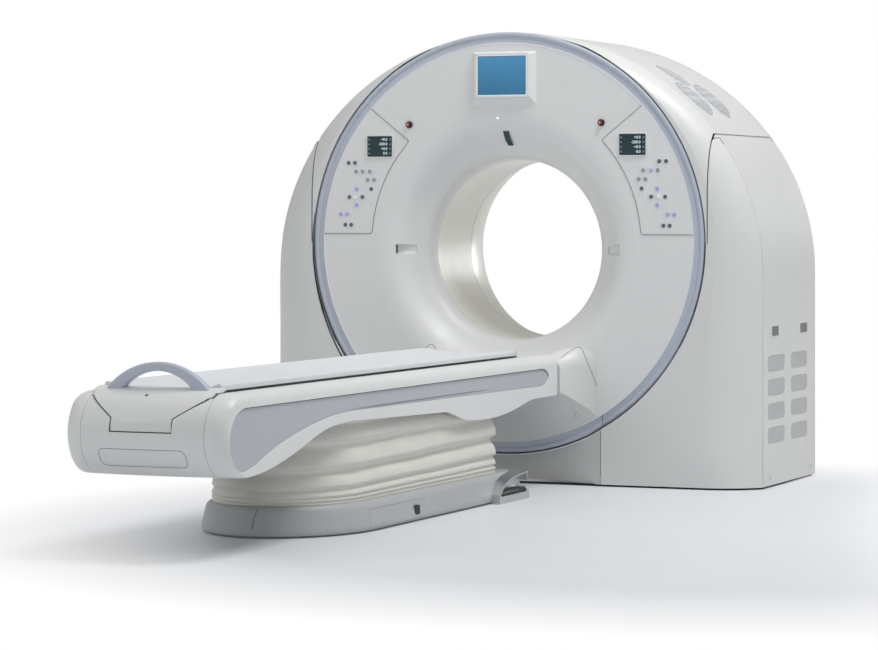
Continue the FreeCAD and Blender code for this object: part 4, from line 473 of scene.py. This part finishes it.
# ---------------------------------------------------------------- bellows
FOLD_SHARES = [0.0, 0.05, 0.105, 0.22, 0.47, 0.777, 1.0]    # heights of the fold lines
FOLD_DEPTH = 0.017          # how far the tallest folds are drawn in
TALL_FOLD = 0.03            # a fold above this height gets more levels
WELT = 0.0016               # how far a fold line stands out
LEAN = 0.012                # how much the middle folds rise towards the head end
CLOTH_WALL = 0.0025
PLAN_STEPS = 240            # points round each level
FOOT_REACH = 0.38           # length of the rounded foot end
HEAD_CORNER = 0.034         # corner radius at the head end


def plan_point(share, half, foot, head, reach, corner):
    """A point round the bellows' plan: half-round foot end, straight sides, round corners."""
    straight = head - corner - foot - reach
    spans = [("foot", math.pi * (half + reach) / 2), ("right", straight),
             ("corner", corner * math.pi / 2), ("head", 2 * (half - corner)),
             ("corner2", corner * math.pi / 2), ("left", straight)]
    rest = share * sum(length for _, length in spans)
    for span, length in spans:
        if rest <= length or span == "left":
            part = min(rest / length, 1.0)
            break
        rest -= length
    turn = part * math.pi / 2
    if span == "foot":
        angle = (part - 0.5) * math.pi
        return half * math.sin(angle), foot + reach * (1 - math.cos(angle))
    if span == "right":
        return half, foot + reach + straight * part
    if span == "corner":
        return (half - corner * (1 - math.cos(turn)), head - corner * (1 - math.sin(turn)))
    if span == "head":
        return half - corner - 2 * (half - corner) * part, head
    if span == "corner2":
        return (corner - half - corner * math.sin(turn), head - corner * (1 - math.cos(turn)))
    return -half, head - corner - straight * part


def fold_depth(height):
    """How far a fold of a given height is drawn in."""
    return FOLD_DEPTH * min(1.0, 0.10 + height / 0.08)


def bellows_levels(low, high):
    """Inset and height of each level, with a small welt at every fold line."""
    levels = []
    for bottom, top in zip(FOLD_SHARES, FOLD_SHARES[1:]):
        height = (top - bottom) * (high - low)
        steps = 20 if height > TALL_FOLD else 8
        for step in range(steps):
            share = (step / steps) ** 0.6
            welt = -WELT if step == 0 and 0 < bottom else 0.0
            drawn = fold_depth(height) * math.sin(math.pi * share ** 3.2) ** 0.9
            levels.append((drawn + welt, low + (bottom + (top - bottom) * share) * (high - low)))
    return levels + [(0.0, high)]


def bellows_ring(inset, height, low, high):
    """One level of the cloth with its slow ripples, which fade out at both ends."""
    box_low, box_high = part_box("bellows")
    half, foot, head = box_high.x, box_low.y, box_high.y
    middle, length = (foot + head) / 2, head - foot
    free = math.sin(math.pi * (height - low) / (high - low))
    ring = []
    for index in range(PLAN_STEPS):
        share = index / PLAN_STEPS
        along = 2 * math.pi * share
        ripple = 0.0009 * math.sin(along * 9 + height * 60) + 0.0006 * math.sin(along * 23 + 1.7)
        x, y = plan_point(share, half - inset - ripple * free, foot + inset + ripple * free,
                          head - inset, FOOT_REACH - inset, HEAD_CORNER)
        sag = (0.0012 * math.sin(along * 5 + height * 25) + LEAN * 2 * (y - middle) / length) * free
        ring.append(Vector((x, y, height + sag)))
    return ring


def bellows():
    """The soft cover between the plinth and the couch: scalloped folds in coated cloth."""
    low, high = (corner.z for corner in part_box("bellows"))
    levels = bellows_levels(low, high)
    outside = [bellows_ring(inset, z, low, high) for inset, z in levels]
    inside = [bellows_ring(inset + CLOTH_WALL, z, low, high) for inset, z in reversed(levels)]
    points, faces = stacked_rings(outside + inside, closed=True)
    mesh = bpy.data.meshes.new("bellows_cloth")
    mesh.from_pydata([tuple(point) for point in points], [], faces)
    mesh.materials.append(FINISHES["bellows_cream"])
    mesh.polygons.foreach_set("use_smooth", [True] * len(mesh.polygons))
    piece = bpy.data.objects.new("bellows_cloth", mesh)
    bpy.context.scene.collection.objects.link(piece)
    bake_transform(piece)
    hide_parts("bellows")


# ---------------------------------------------------------------- keys on the two panels
KEY_WIDTH = 0.027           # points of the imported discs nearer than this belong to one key
KEY_CAP = [(0.0088, -0.0002), (0.0088, 0.0005), (0.0081, 0.0011), (0.0056, 0.0014),
           (0.0020, 0.0015)]
# one letter for each key of a panel, top row first and inwards out
KEY_LOOKS = {-1: "ddgggggdbdwdbbbdd", 1: "ddglgggdbdwdbbbdd"}
CAP_FINISHES = {
    "d": ("key_caps_dark", tint(96, 100, 104), 0.0),
    "l": ("key_caps_lilac", tint(168, 168, 216), 0.2),
    "g": ("key_caps_grey", tint(158, 160, 168), 0.0),
    "b": ("key_caps_blue", tint(150, 154, 214), 0.25),
    "w": ("key_caps_white", tint(226, 230, 228), 0.15),
}


def key_places():
    """The centre of each key's front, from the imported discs."""
    places = []
    for vertex in NODES["panel_keys"].data.vertices:
        spot = Vector((vertex.co.x, vertex.co.z))
        for group in places:
            if (group[0] - spot).length < KEY_WIDTH:
                group.append(spot)
                break
        else:
            places.append([spot])
    centres = []
    for group in places:
        xs, zs = [spot.x for spot in group], [spot.y for spot in group]
        centres.append(((min(xs) + max(xs)) / 2, (min(zs) + max(zs)) / 2))
    return centres


def key_caps():
    """A slightly domed cap on every key, dark, plain or lit."""
    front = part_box("panel_keys")[0].y
    groups = {letter: [] for letter in CAP_FINISHES}
    for side in (-1, 1):
        keys = [key for key in key_places() if key[0] * side > 0]
        keys.sort(key=lambda key: (-round(key[1], 2), abs(key[0])))
        for letter, (x, z) in zip(KEY_LOOKS[side], keys):
            groups[letter].append(caps(lathe_at(Vector((x, front, z)), KEY_CAP)))
    for letter, (name, colour, glow) in CAP_FINISHES.items():
        finish = moulded(name, colour, rough=(0.25, 0.35), Emission_Color=colour,
                         Emission_Strength=glow)
        mesh_piece(name, *gathered(groups[letter]), finish, "gantry", "key_grey")


# ---------------------------------------------------------------- displays and monitor
DISPLAY_ROWS = ("+0.0", "-200.0", "+0.0", "0.0")
FIRST_ROW, ROW_PITCH = 0.66, 0.44               # shares of a display's half height
FIGURE_EDGE, MARK_PLACE = 0.62, 0.84            # shares of its half width
FIGURE_SIZE = 0.0168
TOUCH_MARK = [(0.0042, -0.0001), (0.0042, 0.0003), (0.0034, 0.0005)]


def display_box(side):
    """Middle and half width, middle and half height, and front of one of the two displays."""
    low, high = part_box("panel_displays")
    xs = [vertex.co.x for vertex in NODES["panel_displays"].data.vertices
          if vertex.co.x * side > 0]
    middle = (min(xs) + max(xs)) / 2
    return middle, (max(xs) - min(xs)) / 2, (low.z + high.z) / 2, (high.z - low.z) / 2, low.y


def digits(name, words, place, finish):
    """A line of plain figures on a display, right-aligned."""
    text = bpy.data.curves.new(name, "FONT")
    text.body = words
    text.size = FIGURE_SIZE
    text.align_x = "RIGHT"
    text.align_y = "CENTER"
    text.extrude = 0.0001
    text.resolution_u = 3
    text.materials.append(finish)
    piece = bpy.data.objects.new(name, text)
    piece.location = place
    piece.rotation_euler = (math.pi / 2, 0, 0)
    bpy.context.scene.collection.objects.link(piece)
    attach(piece, "gantry")


def displays():
    """White bezels, figures and touch marks on the two small displays."""
    pale = tint(206, 232, 232)
    lit = moulded("display_figures", pale, rough=(0.3, 0.4), Emission_Color=pale,
                  Emission_Strength=0.6)
    frames, marks = [], []
    for side, label in ((-1, "left"), (1, "right")):
        x, half_x, z, half_z, front = display_box(side)
        frames.append(face_frame(Vector((x, front + 0.0032, z)), half_x - 0.001, half_z - 0.001,
                                 width=0.006, rise=0.0045, radius=0.004))
        for row, words in enumerate(DISPLAY_ROWS):
            level = z + half_z * (FIRST_ROW - ROW_PITCH * row)
            digits(f"display_{label}_row{row}", words,
                   (x + half_x * FIGURE_EDGE, front - 0.0003, level), lit)
            for end in (-1, 1):
                spot = Vector((x + end * half_x * MARK_PLACE, front, level))
                marks.append(caps(lathe_at(spot, TOUCH_MARK, 14)))
    mesh_piece("display_bezels", *gathered(frames), FINISHES["white_cover"], "gantry",
               "white_cover")
    mark = moulded("display_marks", tint(120, 138, 142), rough=(0.3, 0.4))
    mesh_piece("display_marks", *gathered(marks), mark, "gantry", "display_dark")


def monitor_edge():
    """The pale lit line round the monitor's glass and the dark one inside it."""
    low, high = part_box("monitor_screen")
    centre = Vector(((low.x + high.x) / 2, low.y + 0.0012, (low.z + high.z) / 2))
    half_x, half_z = (high.x - low.x) / 2 - 0.004, (high.z - low.z) / 2 - 0.004
    pale = tint(240, 246, 250)
    bright = moulded("monitor_line", pale, rough=(0.3, 0.4), Emission_Color=pale,
                     Emission_Strength=0.12)
    outer = face_frame(centre, half_x, half_z, width=0.0050, rise=0.0022, radius=0.003)
    mesh_piece("monitor_edge", *outer, bright, "gantry", "screen_blue")
    dark = moulded("monitor_inner_line", tint(34, 66, 88), rough=(0.3, 0.4))
    inner = face_frame(centre, half_x - 0.0016, half_z - 0.0016, width=0.0018, rise=0.0018,
                       radius=0.002)
    mesh_piece("monitor_inner_edge", *inner, dark, "gantry", "screen_blue")


# ---------------------------------------------------------------- joints between the covers
SEAM = moulded("seam_shadow", tint(92, 94, 98), rough=(0.6, 0.7))
SHARP_TURN = 0.35           # an edge that turns by more than this, in radians, is sharp


def panel_seams():
    """The fine dark joint round each keypad plate."""
    low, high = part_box("control_panels")
    inner, corner_x, outer_x, round_off, arc_steps = 0.625, 0.447, 0.628, 0.014, 24
    for side, label in ((-1, "left"), (1, "right")):
        outer = high.x + 0.0005
        path = [Vector((side * outer, low.y, low.z))]
        start = math.asin((low.z - DISC_Z) / inner)
        foot_x = inner * math.cos(start)
        path.append(Vector((side * (foot_x + round_off), low.y, low.z)))
        path.append(Vector((side * (foot_x + round_off * 0.28), low.y, low.z + 0.003)))
        end = math.acos(corner_x / inner)
        first = start + round_off / inner
        last = end - round_off / inner
        for step in range(arc_steps + 1):
            angle = first + (last - first) * step / arc_steps
            path.append(Vector((side * inner * math.cos(angle), low.y,
                                DISC_Z + inner * math.sin(angle))))
        tip = Vector((side * corner_x, low.y, DISC_Z + inner * math.sin(end)))
        rim = Vector((side * outer_x, low.y,
                      DISC_Z + math.sqrt((high.x ** 2 + (low.z - DISC_Z) ** 2) - outer_x ** 2)))
        path.append(tip + (rim - tip).normalized() * round_off * 0.3)
        path.append(tip + (rim - tip).normalized() * round_off)
        path.append(rim)
        strip(f"panel_seam_{label}", path, 0.0011, SEAM, "gantry")


def plinth_seam():
    """The upright joint in the plinth near its foot end."""
    low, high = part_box("couch_base")
    starts = [(0.03 + 0.02 * share ** 3, low.y - 1, low.z + (high.z - low.z) * share)
              for share in (0.03, 0.3, 0.5, 0.7, 0.85, 0.94)]
    strip("plinth_seam", cast_path("couch_base", starts, FORWARDS, 0.0002), 0.0012, SEAM,
          "gantry")


def chained(follows):
    """Chains through a table of neighbours, ends first and then closed loops."""
    used, chains = set(), []
    for start in sorted(follows, key=lambda index: (len(follows[index]) != 1, index)):
        chain = [start]
        while True:
            steps = [after for after in follows[chain[-1]]
                     if frozenset((chain[-1], after)) not in used]
            if not steps:
                break
            used.add(frozenset((chain[-1], steps[0])))
            chain.append(steps[0])
        if len(chain) > 1:
            chains.append(chain)
    return chains


def sharp_paths(node, wanted):
    """The node's sharp edges that are wanted, chained into paths of points."""
    mesh = bmesh.new()
    mesh.from_mesh(NODES[node].data)
    bmesh.ops.remove_doubles(mesh, verts=mesh.verts, dist=1e-5)
    follows = {}
    for edge in mesh.edges:
        if len(edge.link_faces) != 2 or edge.calc_face_angle() < SHARP_TURN:
            continue
        middle = (edge.verts[0].co + edge.verts[1].co) / 2
        if wanted(middle, *[face.normal for face in edge.link_faces]):
            for here, there in (edge.verts, reversed(edge.verts)):
                follows.setdefault(here.index, []).append(there.index)
    places = {vertex.index: vertex.co.copy() for vertex in mesh.verts}
    mesh.free()
    return [[places[index] for index in chain] for chain in chained(follows)]


def joint_lines(name, node, wanted, radius, material, body):
    """Dark joints along a node's own sharp edges."""
    for index, path in enumerate(sharp_paths(node, wanted)):
        strip(f"{name}_{index}", path, radius, material, body)


def cover_joints():
    """The joints that read dark: round the side panels, the end cap and the gantry's covers."""
    ink = moulded("joint_ink", INK, rough=(0.6, 0.7))
    for side, label in ((1, "right"), (-1, "left")):
        def panel_rim(spot, first, second, side=side):
            outward = max(first.x * side, second.x * side) > 0.4
            wall = first if abs(first.x) < abs(second.x) else second
            return outward and (wall.z > 0.15 or wall.y < -0.2)
        joint_lines(f"panel_joint_{label}", f"side_panel_{label}", panel_rim, 0.0016, ink,
                    "couch")

        def wing_rim(spot, first, second, side=side):
            return spot.z > 0.6 and spot.x * side < 0.96 and max(-first.y, -second.y) > 0.4
        joint_lines(f"wing_joint_{label}", f"wing_cover_{label}", wing_rim, 0.0013, ink,
                    "gantry")

    def tongue_rim(spot, first, second):
        return spot.z < 0.545 and spot.y < -3.56 and max(-first.y, -second.y) > 0.25
    joint_lines("end_cap_joint", "tabletop_end_cap", tongue_rim, 0.0017, ink, "tabletop")


def blank_field():
    """The thin outline of the shallow blank field on the couch's foot end."""
    middle_x, middle_z, spacing = -0.002, 0.343, 0.008
    corners = rounded_loop(0.166, 0.030, 0.022, 8)
    starts = []
    for (x, z), (next_x, next_z) in zip(corners, corners[1:] + corners[:1]):
        pieces = max(1, round(math.hypot(next_x - x, next_z - z) / spacing))
        for step in range(pieces):
            part = step / pieces
            starts.append((x + (next_x - x) * part + middle_x, -4.0,
                           z + (next_z - z) * part + middle_z))
    strip("field_joint", cast_path("foot_end_cap", starts, FORWARDS), 0.0008, SEAM, "couch",
          closed=True)


def panel_grooves():
    """Painted shade along the long soft groove in each side panel, fading out at its ends."""
    # painted shade: a darker lilac-grey line where the groove's shade falls
    shade_line = moulded("groove_shade", tint(120, 122, 132), rough=(0.6, 0.7))
    foot_y, length, height, steps = -2.74, 1.40, 0.4556, 29
    for side, label in ((1, "right"), (-1, "left")):
        starts = [(side * 0.6, foot_y + length * step / steps, height)
                  for step in range(steps + 1)]
        path = cast_path(f"side_panel_{label}", starts, (-side, 0, 0), 0.0)
        strip(f"panel_groove_{label}", path, 0.0016, shade_line, "couch",
              tapered=True)


def circle(centre_z, radius, y, steps):
    """The points of a circle that faces the couch, about the machine's middle plane."""
    points = []
    for step in range(steps):
        angle = math.radians(360 * step / steps)
        points.append(Vector((radius * math.cos(angle), y, centre_z + radius * math.sin(angle))))
    return points


def face_rims():
    """A painted highlight along the rim of the round front, and the fine joints at the liner's two
    ends.
    """
    # painted highlight: a near-white line along the rim of the round front
    bright = moulded("rim_painted_highlight", tint(250, 250, 252), rough=(0.2, 0.3))
    strip("disc_rim_highlight", circle(DISC_Z, 0.8572, -0.4803, 180), 0.0016, bright, "gantry",
          closed=True)
    bore_z, liner_radius = 1.0, 0.3908
    liner = moulded("liner_joint", tint(150, 148, 140), rough=(0.6, 0.7))
    for name, y in (("liner_joint", -0.2975), ("liner_rear_joint", 0.0790)):
        strip(name, circle(bore_z, liner_radius, y, 120), 0.0012, liner, "gantry",
              closed=True)


def neck_outline():
    """The fine joint that runs round the neck's horn, seen on the right side and mirrored."""
    corners = [(560.8, 358.4), (565.9, 354.1), (571.0, 350.3), (577.1, 347.2), (580.5, 347.6),
               (583.0, 351.0), (588.3, 364.4), (592.0, 373.0), (595.2, 381.7), (598.2, 392.0),
               (598.6, 404.0), (598.6, 416.0)]
    steps, longest_gap = 5, 0.06
    path = []
    for (column, row), (next_column, next_row) in zip(corners, corners[1:]):
        for step in range(steps):
            spot = sighted(column + (next_column - column) * step / steps,
                           row + (next_row - row) * step / steps, "neck_fairing")
            if spot is not None and (not path or (spot - path[-1]).length < longest_gap):
                path.append(spot)
    mirrored = [Vector((-spot.x, spot.y, spot.z)) for spot in path]
    strip("neck_joint", path, 0.0010, SEAM, "gantry")
    strip("neck_joint_mirrored", mirrored, 0.0010, SEAM, "gantry")


def rear_joints():
    """The joints between the rear's lift-off service panels."""
    panel_x, sill_z, rear_y = 0.66, 0.36, 0.47
    lines = {"upright": [(panel_x, 0.03 + 0.05 * step) for step in range(29)],
             "sill": [(panel_x - 0.055 * step, sill_z) for step in range(13)]}
    for label, places in lines.items():
        for side, side_label in ((-1, "left"), (1, "right")):
            starts = [(side * x, 2.0, z) for x, z in places]
            path = [spot for spot in cast_path("rear_cover", starts, BACKWARDS, 0.0001)
                    if spot.y > rear_y]
            strip(f"rear_{label}_{side_label}", path, 0.0013, SEAM, "gantry")


# ---------------------------------------------------------------- small fittings and trim
# profiles of the turned pieces, as (radius, rise) from the rim inwards
NECK_CAP = [(0.0125, -0.003), (0.0125, 0.0012), (0.0112, 0.0022), (0.0092, 0.0022),
            (0.0080, 0.0006), (0.0030, 0.0004)]
END_CAP_LOCK = [(0.0060, -0.004), (0.0060, 0.0006), (0.0050, 0.0012), (0.0035, 0.0004),
                (0.0012, 0.0002)]
FACE_LAMP = [(0.0048, -0.002), (0.0048, 0.0006), (0.0036, 0.0014), (0.0012, 0.0016)]
STOP_MARK = [(0.0040, -0.0004), (0.0040, 0.0004), (0.0034, 0.0006), (0.0024, 0.0004),
             (0.0010, 0.0003)]
LOW_CAP = [(0.0105, -0.002), (0.0105, 0.0008), (0.0092, 0.0014), (0.0030, 0.0012)]


def ring_painted_shadow():
    """A black strip of painted shadow that widens between the ring and the left wing."""
    # painted shadow: a black strip on the wing along the ring's proud edge
    shadow_sheet = moulded("ring_shadow_paint", tint(20, 20, 22), rough=(0.6, 0.7))
    radius, first, sweep, steps = 0.9105, 172, 62, 60       # the angles are in degrees
    thin, widening, fallback_y = 0.0015, 0.0115, -0.4815
    points, faces = [], []
    for step in range(steps + 1):
        angle = math.radians(first + sweep * step / steps)
        width = thin + widening * min(1.0, (step / steps) ** 0.8 * 1.3)
        for reach in (radius, radius + width / 2, radius + width):
            x, z = reach * math.cos(angle), DISC_Z + reach * math.sin(angle)
            spot = cast("wing_cover_left", (x, -1.0, z), FORWARDS, 0.0006)
            points.append(spot if spot is not None else Vector((x, fallback_y, z)))
    for step in range(steps):
        for lane in range(2):
            base = step * 3 + lane
            faces.append((base, base + 1, base + 4, base + 3))
    piece = mesh_piece("ring_shadow_sheet", points, faces, shadow_sheet, "gantry", "white_cover")
    piece.modifiers.new("thickness", "SOLIDIFY").thickness = 0.001


def small_fittings():
    """The neck's two caps, the end cap's lock and the tiny lamp under the monitor."""
    neck = [(cast("neck_fairing", (side * 0.3436, -2.0, 0.2989), FORWARDS, 0.0),
             (side * 0.14, -0.95, -0.28)) for side in (-1, 1)]
    turned("neck_caps", neck, NECK_CAP, FINISHES["white_cover"], "gantry", "white_cover")
    spot = cast("tabletop_end_cap", (-0.0135, -4.0, 0.5518), FORWARDS, 0.0)
    turned("end_cap_lock", [(spot, (0, -0.55, 0.83))], END_CAP_LOCK,
           moulded("lock_dark", tint(88, 92, 96)), "tabletop", "white_cover")
    glow = tint(250, 252, 255)
    lamp = moulded("lamp_white", glow, Emission_Color=glow, Emission_Strength=0.6)
    spot = cast("front_disc_cover", (-0.0321, -2.0, 1.5678), FORWARDS, 0.0)
    turned("face_lamp", [(spot, (0, -1, -0.1))], FACE_LAMP, lamp, "gantry", "white_cover")


def stop_marks():
    """A pale ring on each emergency stop's button."""
    pale = moulded("stop_mark", tint(206, 190, 186), rough=(0.3, 0.4))
    for label in ("left", "right"):
        low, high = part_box(f"estop_button_{label}")
        centre = Vector(((low.x + high.x) / 2, low.y, (low.z + high.z) / 2))
        turned(f"stop_mark_{label}", [(centre, BACKWARDS)], STOP_MARK, pale, f"estop_{label}",
               "stop_red")


def side_details():
    """Filter mats on the louvres, the slotted locks above them and the low round caps."""
    low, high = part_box("side_louvres")
    mat_inset_y, mat_first_z, mat_pitch = 0.118, 0.0345, 0.1015
    lock_x, lock_z, slot_first_z, slot_pitch, slot_half = 1.130, 0.659, 0.6435, 0.0078, 0.0014
    mats, locks, slots, spots = [], [], [], []
    for side in (-1, 1):
        for y in (low.y + mat_inset_y, high.y - mat_inset_y):
            for row in range(4):
                mats.append(rounded_plate(side, high.x - 0.004, high.x + 0.0012, y,
                                          low.z + mat_first_z + mat_pitch * row,
                                          half_y=0.1135, half_z=0.0295, radius=0.016))
        for y in (-0.205, 0.214):
            locks.append(rounded_plate(side, lock_x - 0.002, lock_x + 0.0007, y, lock_z,
                                       half_y=0.047, half_z=0.021, radius=0.004))
            for slot in range(5):
                z = slot_first_z + slot_pitch * slot
                slots.append(bar_block((side * lock_x - 0.0012, y - 0.036, z - slot_half),
                                       (side * lock_x + 0.0012, y + 0.036, z + slot_half)))
    for column, row in ((770.4, 477.7), (809.8, 465.6)):
        spot = sighted(column, row, "side_cover_right", 0.0)
        if spot is not None:
            spots += [(spot, (1, 0, 0)), (Vector((-spot.x, spot.y, spot.z)), (-1, 0, 0))]
    mat = perforated("filter_mat", tint(194, 195, 196), tint(172, 174, 176), 0.003)
    mesh_piece("vent_mats", *gathered(mats), mat, "gantry", "vent_grey")
    lock = moulded("lock_grey", tint(134, 136, 138), rough=(0.5, 0.6))
    mesh_piece("side_locks", *gathered(locks), lock, "gantry", "vent_grey")
    mesh_piece("side_lock_slots", *gathered(slots), moulded("lock_slot", tint(96, 98, 100)),
               "gantry", "vent_grey")
    turned("low_caps", spots, LOW_CAP, FINISHES["vent_grey"], "gantry", "white_cover")


def floor_gap_shadow():
    """A black band set back under the gantry's covers: painted shadow that darkens the gap above
    the floor.
    """
    # painted shadow: a near-black band in the gap under the covers
    dark = moulded("floor_gap_shadow_paint", tint(14, 14, 16), rough=(0.7, 0.8))
    feet = []
    for node in ("wing_cover_left", "wing_cover_right", "side_cover_left", "side_cover_right",
                 "rear_cover"):
        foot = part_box(node)[0].z + 0.0005
        feet += [vertex.co.xy for vertex in NODES[node].data.vertices if vertex.co.z < foot]
    outline = [feet[index] for index in convex_hull_2d(feet)]
    inset, wall, low, top = 0.013, 0.004, 0.0005, 0.0095
    half_x, half_y = (max(abs(point[axis]) for point in outline) for axis in (0, 1))

    def ring(inward, height):
        return [Vector((point.x * (1 - inward / half_x), point.y * (1 - inward / half_y), height))
                for point in outline]
    rings = [ring(inset, low), ring(inset, top), ring(inset + wall, top), ring(inset + wall, low)]
    mesh_piece("floor_gap_shadow", *stacked_rings(rings, closed=True), dark, "gantry", "white_cover")


def latch_slots():
    """The dark slotted latch of the plinth's door."""
    dark = moulded("latch_dark", tint(58, 60, 62), rough=(0.5, 0.6))
    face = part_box("base_door")[1].x
    first_z, pitch, bar_height = 0.0295, 0.0068, 0.0034
    parts = [bar_block((face - 0.0046, -2.171, 0.027), (face - 0.0036, -2.123, 0.061))]
    for bar in range(5):
        z = first_z + pitch * bar
        parts.append(bar_block((face - 0.0040, -2.169, z), (face - 0.0016, -2.125,
                                                            z + bar_height)))
    mesh_piece("door_latch", *gathered(parts), dark, "gantry", "plinth_grey")


# ---------------------------------------------------------------- floor, light and camera
WHITE_CENTRE = (1.5, -1.9, 0.0)
WHITE_FADE = (1.9, 2.95)    # the floor runs out to white between these distances from the centre
# name, place, aim, diameter and watts
LAMPS = (
    ("key", (3.0, -1.6, 6.8), (0, -1.5, 0.5), 3.0, 280),
    ("left_fill", (-5.0, -7.5, 4.0), (-0.4, -0.5, 1.0), 4.0, 75),
    ("rear_fill", (0.9, 4.6, 1.35), (-0.1, 0.0, 0.85), 1.0, 30),
)


def either_ray(tree, first, second):
    """A socket that is 1 for either of two kinds of ray."""
    path, either = tree.nodes.new("ShaderNodeLightPath"), tree.nodes.new("ShaderNodeMath")
    either.operation = "MAXIMUM"
    tree.links.new(path.outputs[first], either.inputs[0])
    tree.links.new(path.outputs[second], either.inputs[1])
    return either.outputs["Value"]


def floor():
    """A pale studio floor that keeps the shadow and runs out to white."""
    finish = Finish("studio_floor")
    away = finish.add("ShaderNodeVectorMath", operation="DISTANCE")
    finish.link(finish.places, away.inputs[0])
    away.inputs[1].default_value = WHITE_CENTRE
    far = finish.ranged(away.outputs["Value"], 0.0, 1.0, WHITE_FADE)
    finish.paint(finish.mixed(finish.ranged(finish.noise(0.6, 2.0), 0.0, 1.0),
                              tint(226, 228, 232), tint(230, 232, 236)))
    finish.link(finish.ranged(finish.noise(3.0, 3.0), 0.42, 0.5),
                finish.shader.inputs["Roughness"])
    finish.bump(finish.noise(160.0, 2.0), 0.02, 0.0005)
    finish.constant(Specular_IOR_Level=0.3)
    share = finish.add("ShaderNodeMath", operation="MULTIPLY")
    finish.link(either_ray(finish.tree, "Is Camera Ray", "Is Glossy Ray"), share.inputs[0])
    finish.link(far, share.inputs[1])
    white = finish.add("ShaderNodeEmission")
    mix = finish.add("ShaderNodeMixShader")
    finish.link(share.outputs["Value"], mix.inputs["Fac"])
    finish.link(finish.shader.outputs["BSDF"], mix.inputs[1])
    finish.link(white.outputs["Emission"], mix.inputs[2])
    output = finish.tree.nodes["Material Output"]
    finish.link(mix.outputs["Shader"], output.inputs["Surface"])
    bpy.ops.mesh.primitive_plane_add(size=60)
    plane = bpy.context.object
    plane.name = "studio_floor"
    plane.data.materials.append(finish.material)


def world():
    """Even pale light, and white where the camera or glass sees past the floor."""
    sky = bpy.data.worlds.new("studio")
    bpy.context.scene.world = sky
    sky.use_nodes = True
    nodes, links = sky.node_tree.nodes, sky.node_tree.links
    nodes.clear()
    ambient, white = nodes.new("ShaderNodeBackground"), nodes.new("ShaderNodeBackground")
    ambient.inputs["Color"].default_value = (0.99, 1.0, 0.995, 1.0)
    ambient.inputs["Strength"].default_value = 0.445
    white.inputs["Color"].default_value = (1.0, 1.0, 1.0, 1.0)
    mix, output = nodes.new("ShaderNodeMixShader"), nodes.new("ShaderNodeOutputWorld")
    links.new(either_ray(sky.node_tree, "Is Camera Ray", "Is Transmission Ray"),
              mix.inputs["Fac"])
    links.new(ambient.outputs["Background"], mix.inputs[1])
    links.new(white.outputs["Background"], mix.inputs[2])
    links.new(mix.outputs["Shader"], output.inputs["Surface"])


def soft_lamp(name, place, aim, size, energy):
    """A round soft lamp at a place, turned towards its aim."""
    lamp = bpy.data.lights.new(name, "AREA")
    lamp.shape = "DISK"
    lamp.size = size
    lamp.energy = energy
    item = bpy.data.objects.new(name, lamp)
    item.location = place
    item.rotation_euler = (Vector(aim) - Vector(place)).to_track_quat("-Z", "Y").to_euler()
    bpy.context.scene.collection.objects.link(item)


def camera():
    """The camera at the photograph's viewpoint."""
    lens = bpy.data.cameras.new("camera")
    lens.sensor_width = SENSOR
    lens.lens = LENS
    lens.shift_y = SHIFT
    lens.clip_end = 100
    item = bpy.data.objects.new("camera", lens)
    item.location = VIEWPOINT
    item.rotation_euler = (math.radians(90), 0, VIEW_TURN)
    bpy.context.scene.collection.objects.link(item)
    bpy.context.scene.camera = item


bellows()
key_caps()
displays()
monitor_edge()
panel_seams()
plinth_seam()
cover_joints()
blank_field()
panel_grooves()
face_rims()
ring_painted_shadow()
small_fittings()
neck_outline()
floor_gap_shadow()
rear_joints()
stop_marks()
side_details()
latch_slots()
floor()
world()
for lamp_settings in LAMPS:
    soft_lamp(*lamp_settings)
camera()
bpy.context.scene.view_settings.view_transform = "Standard"
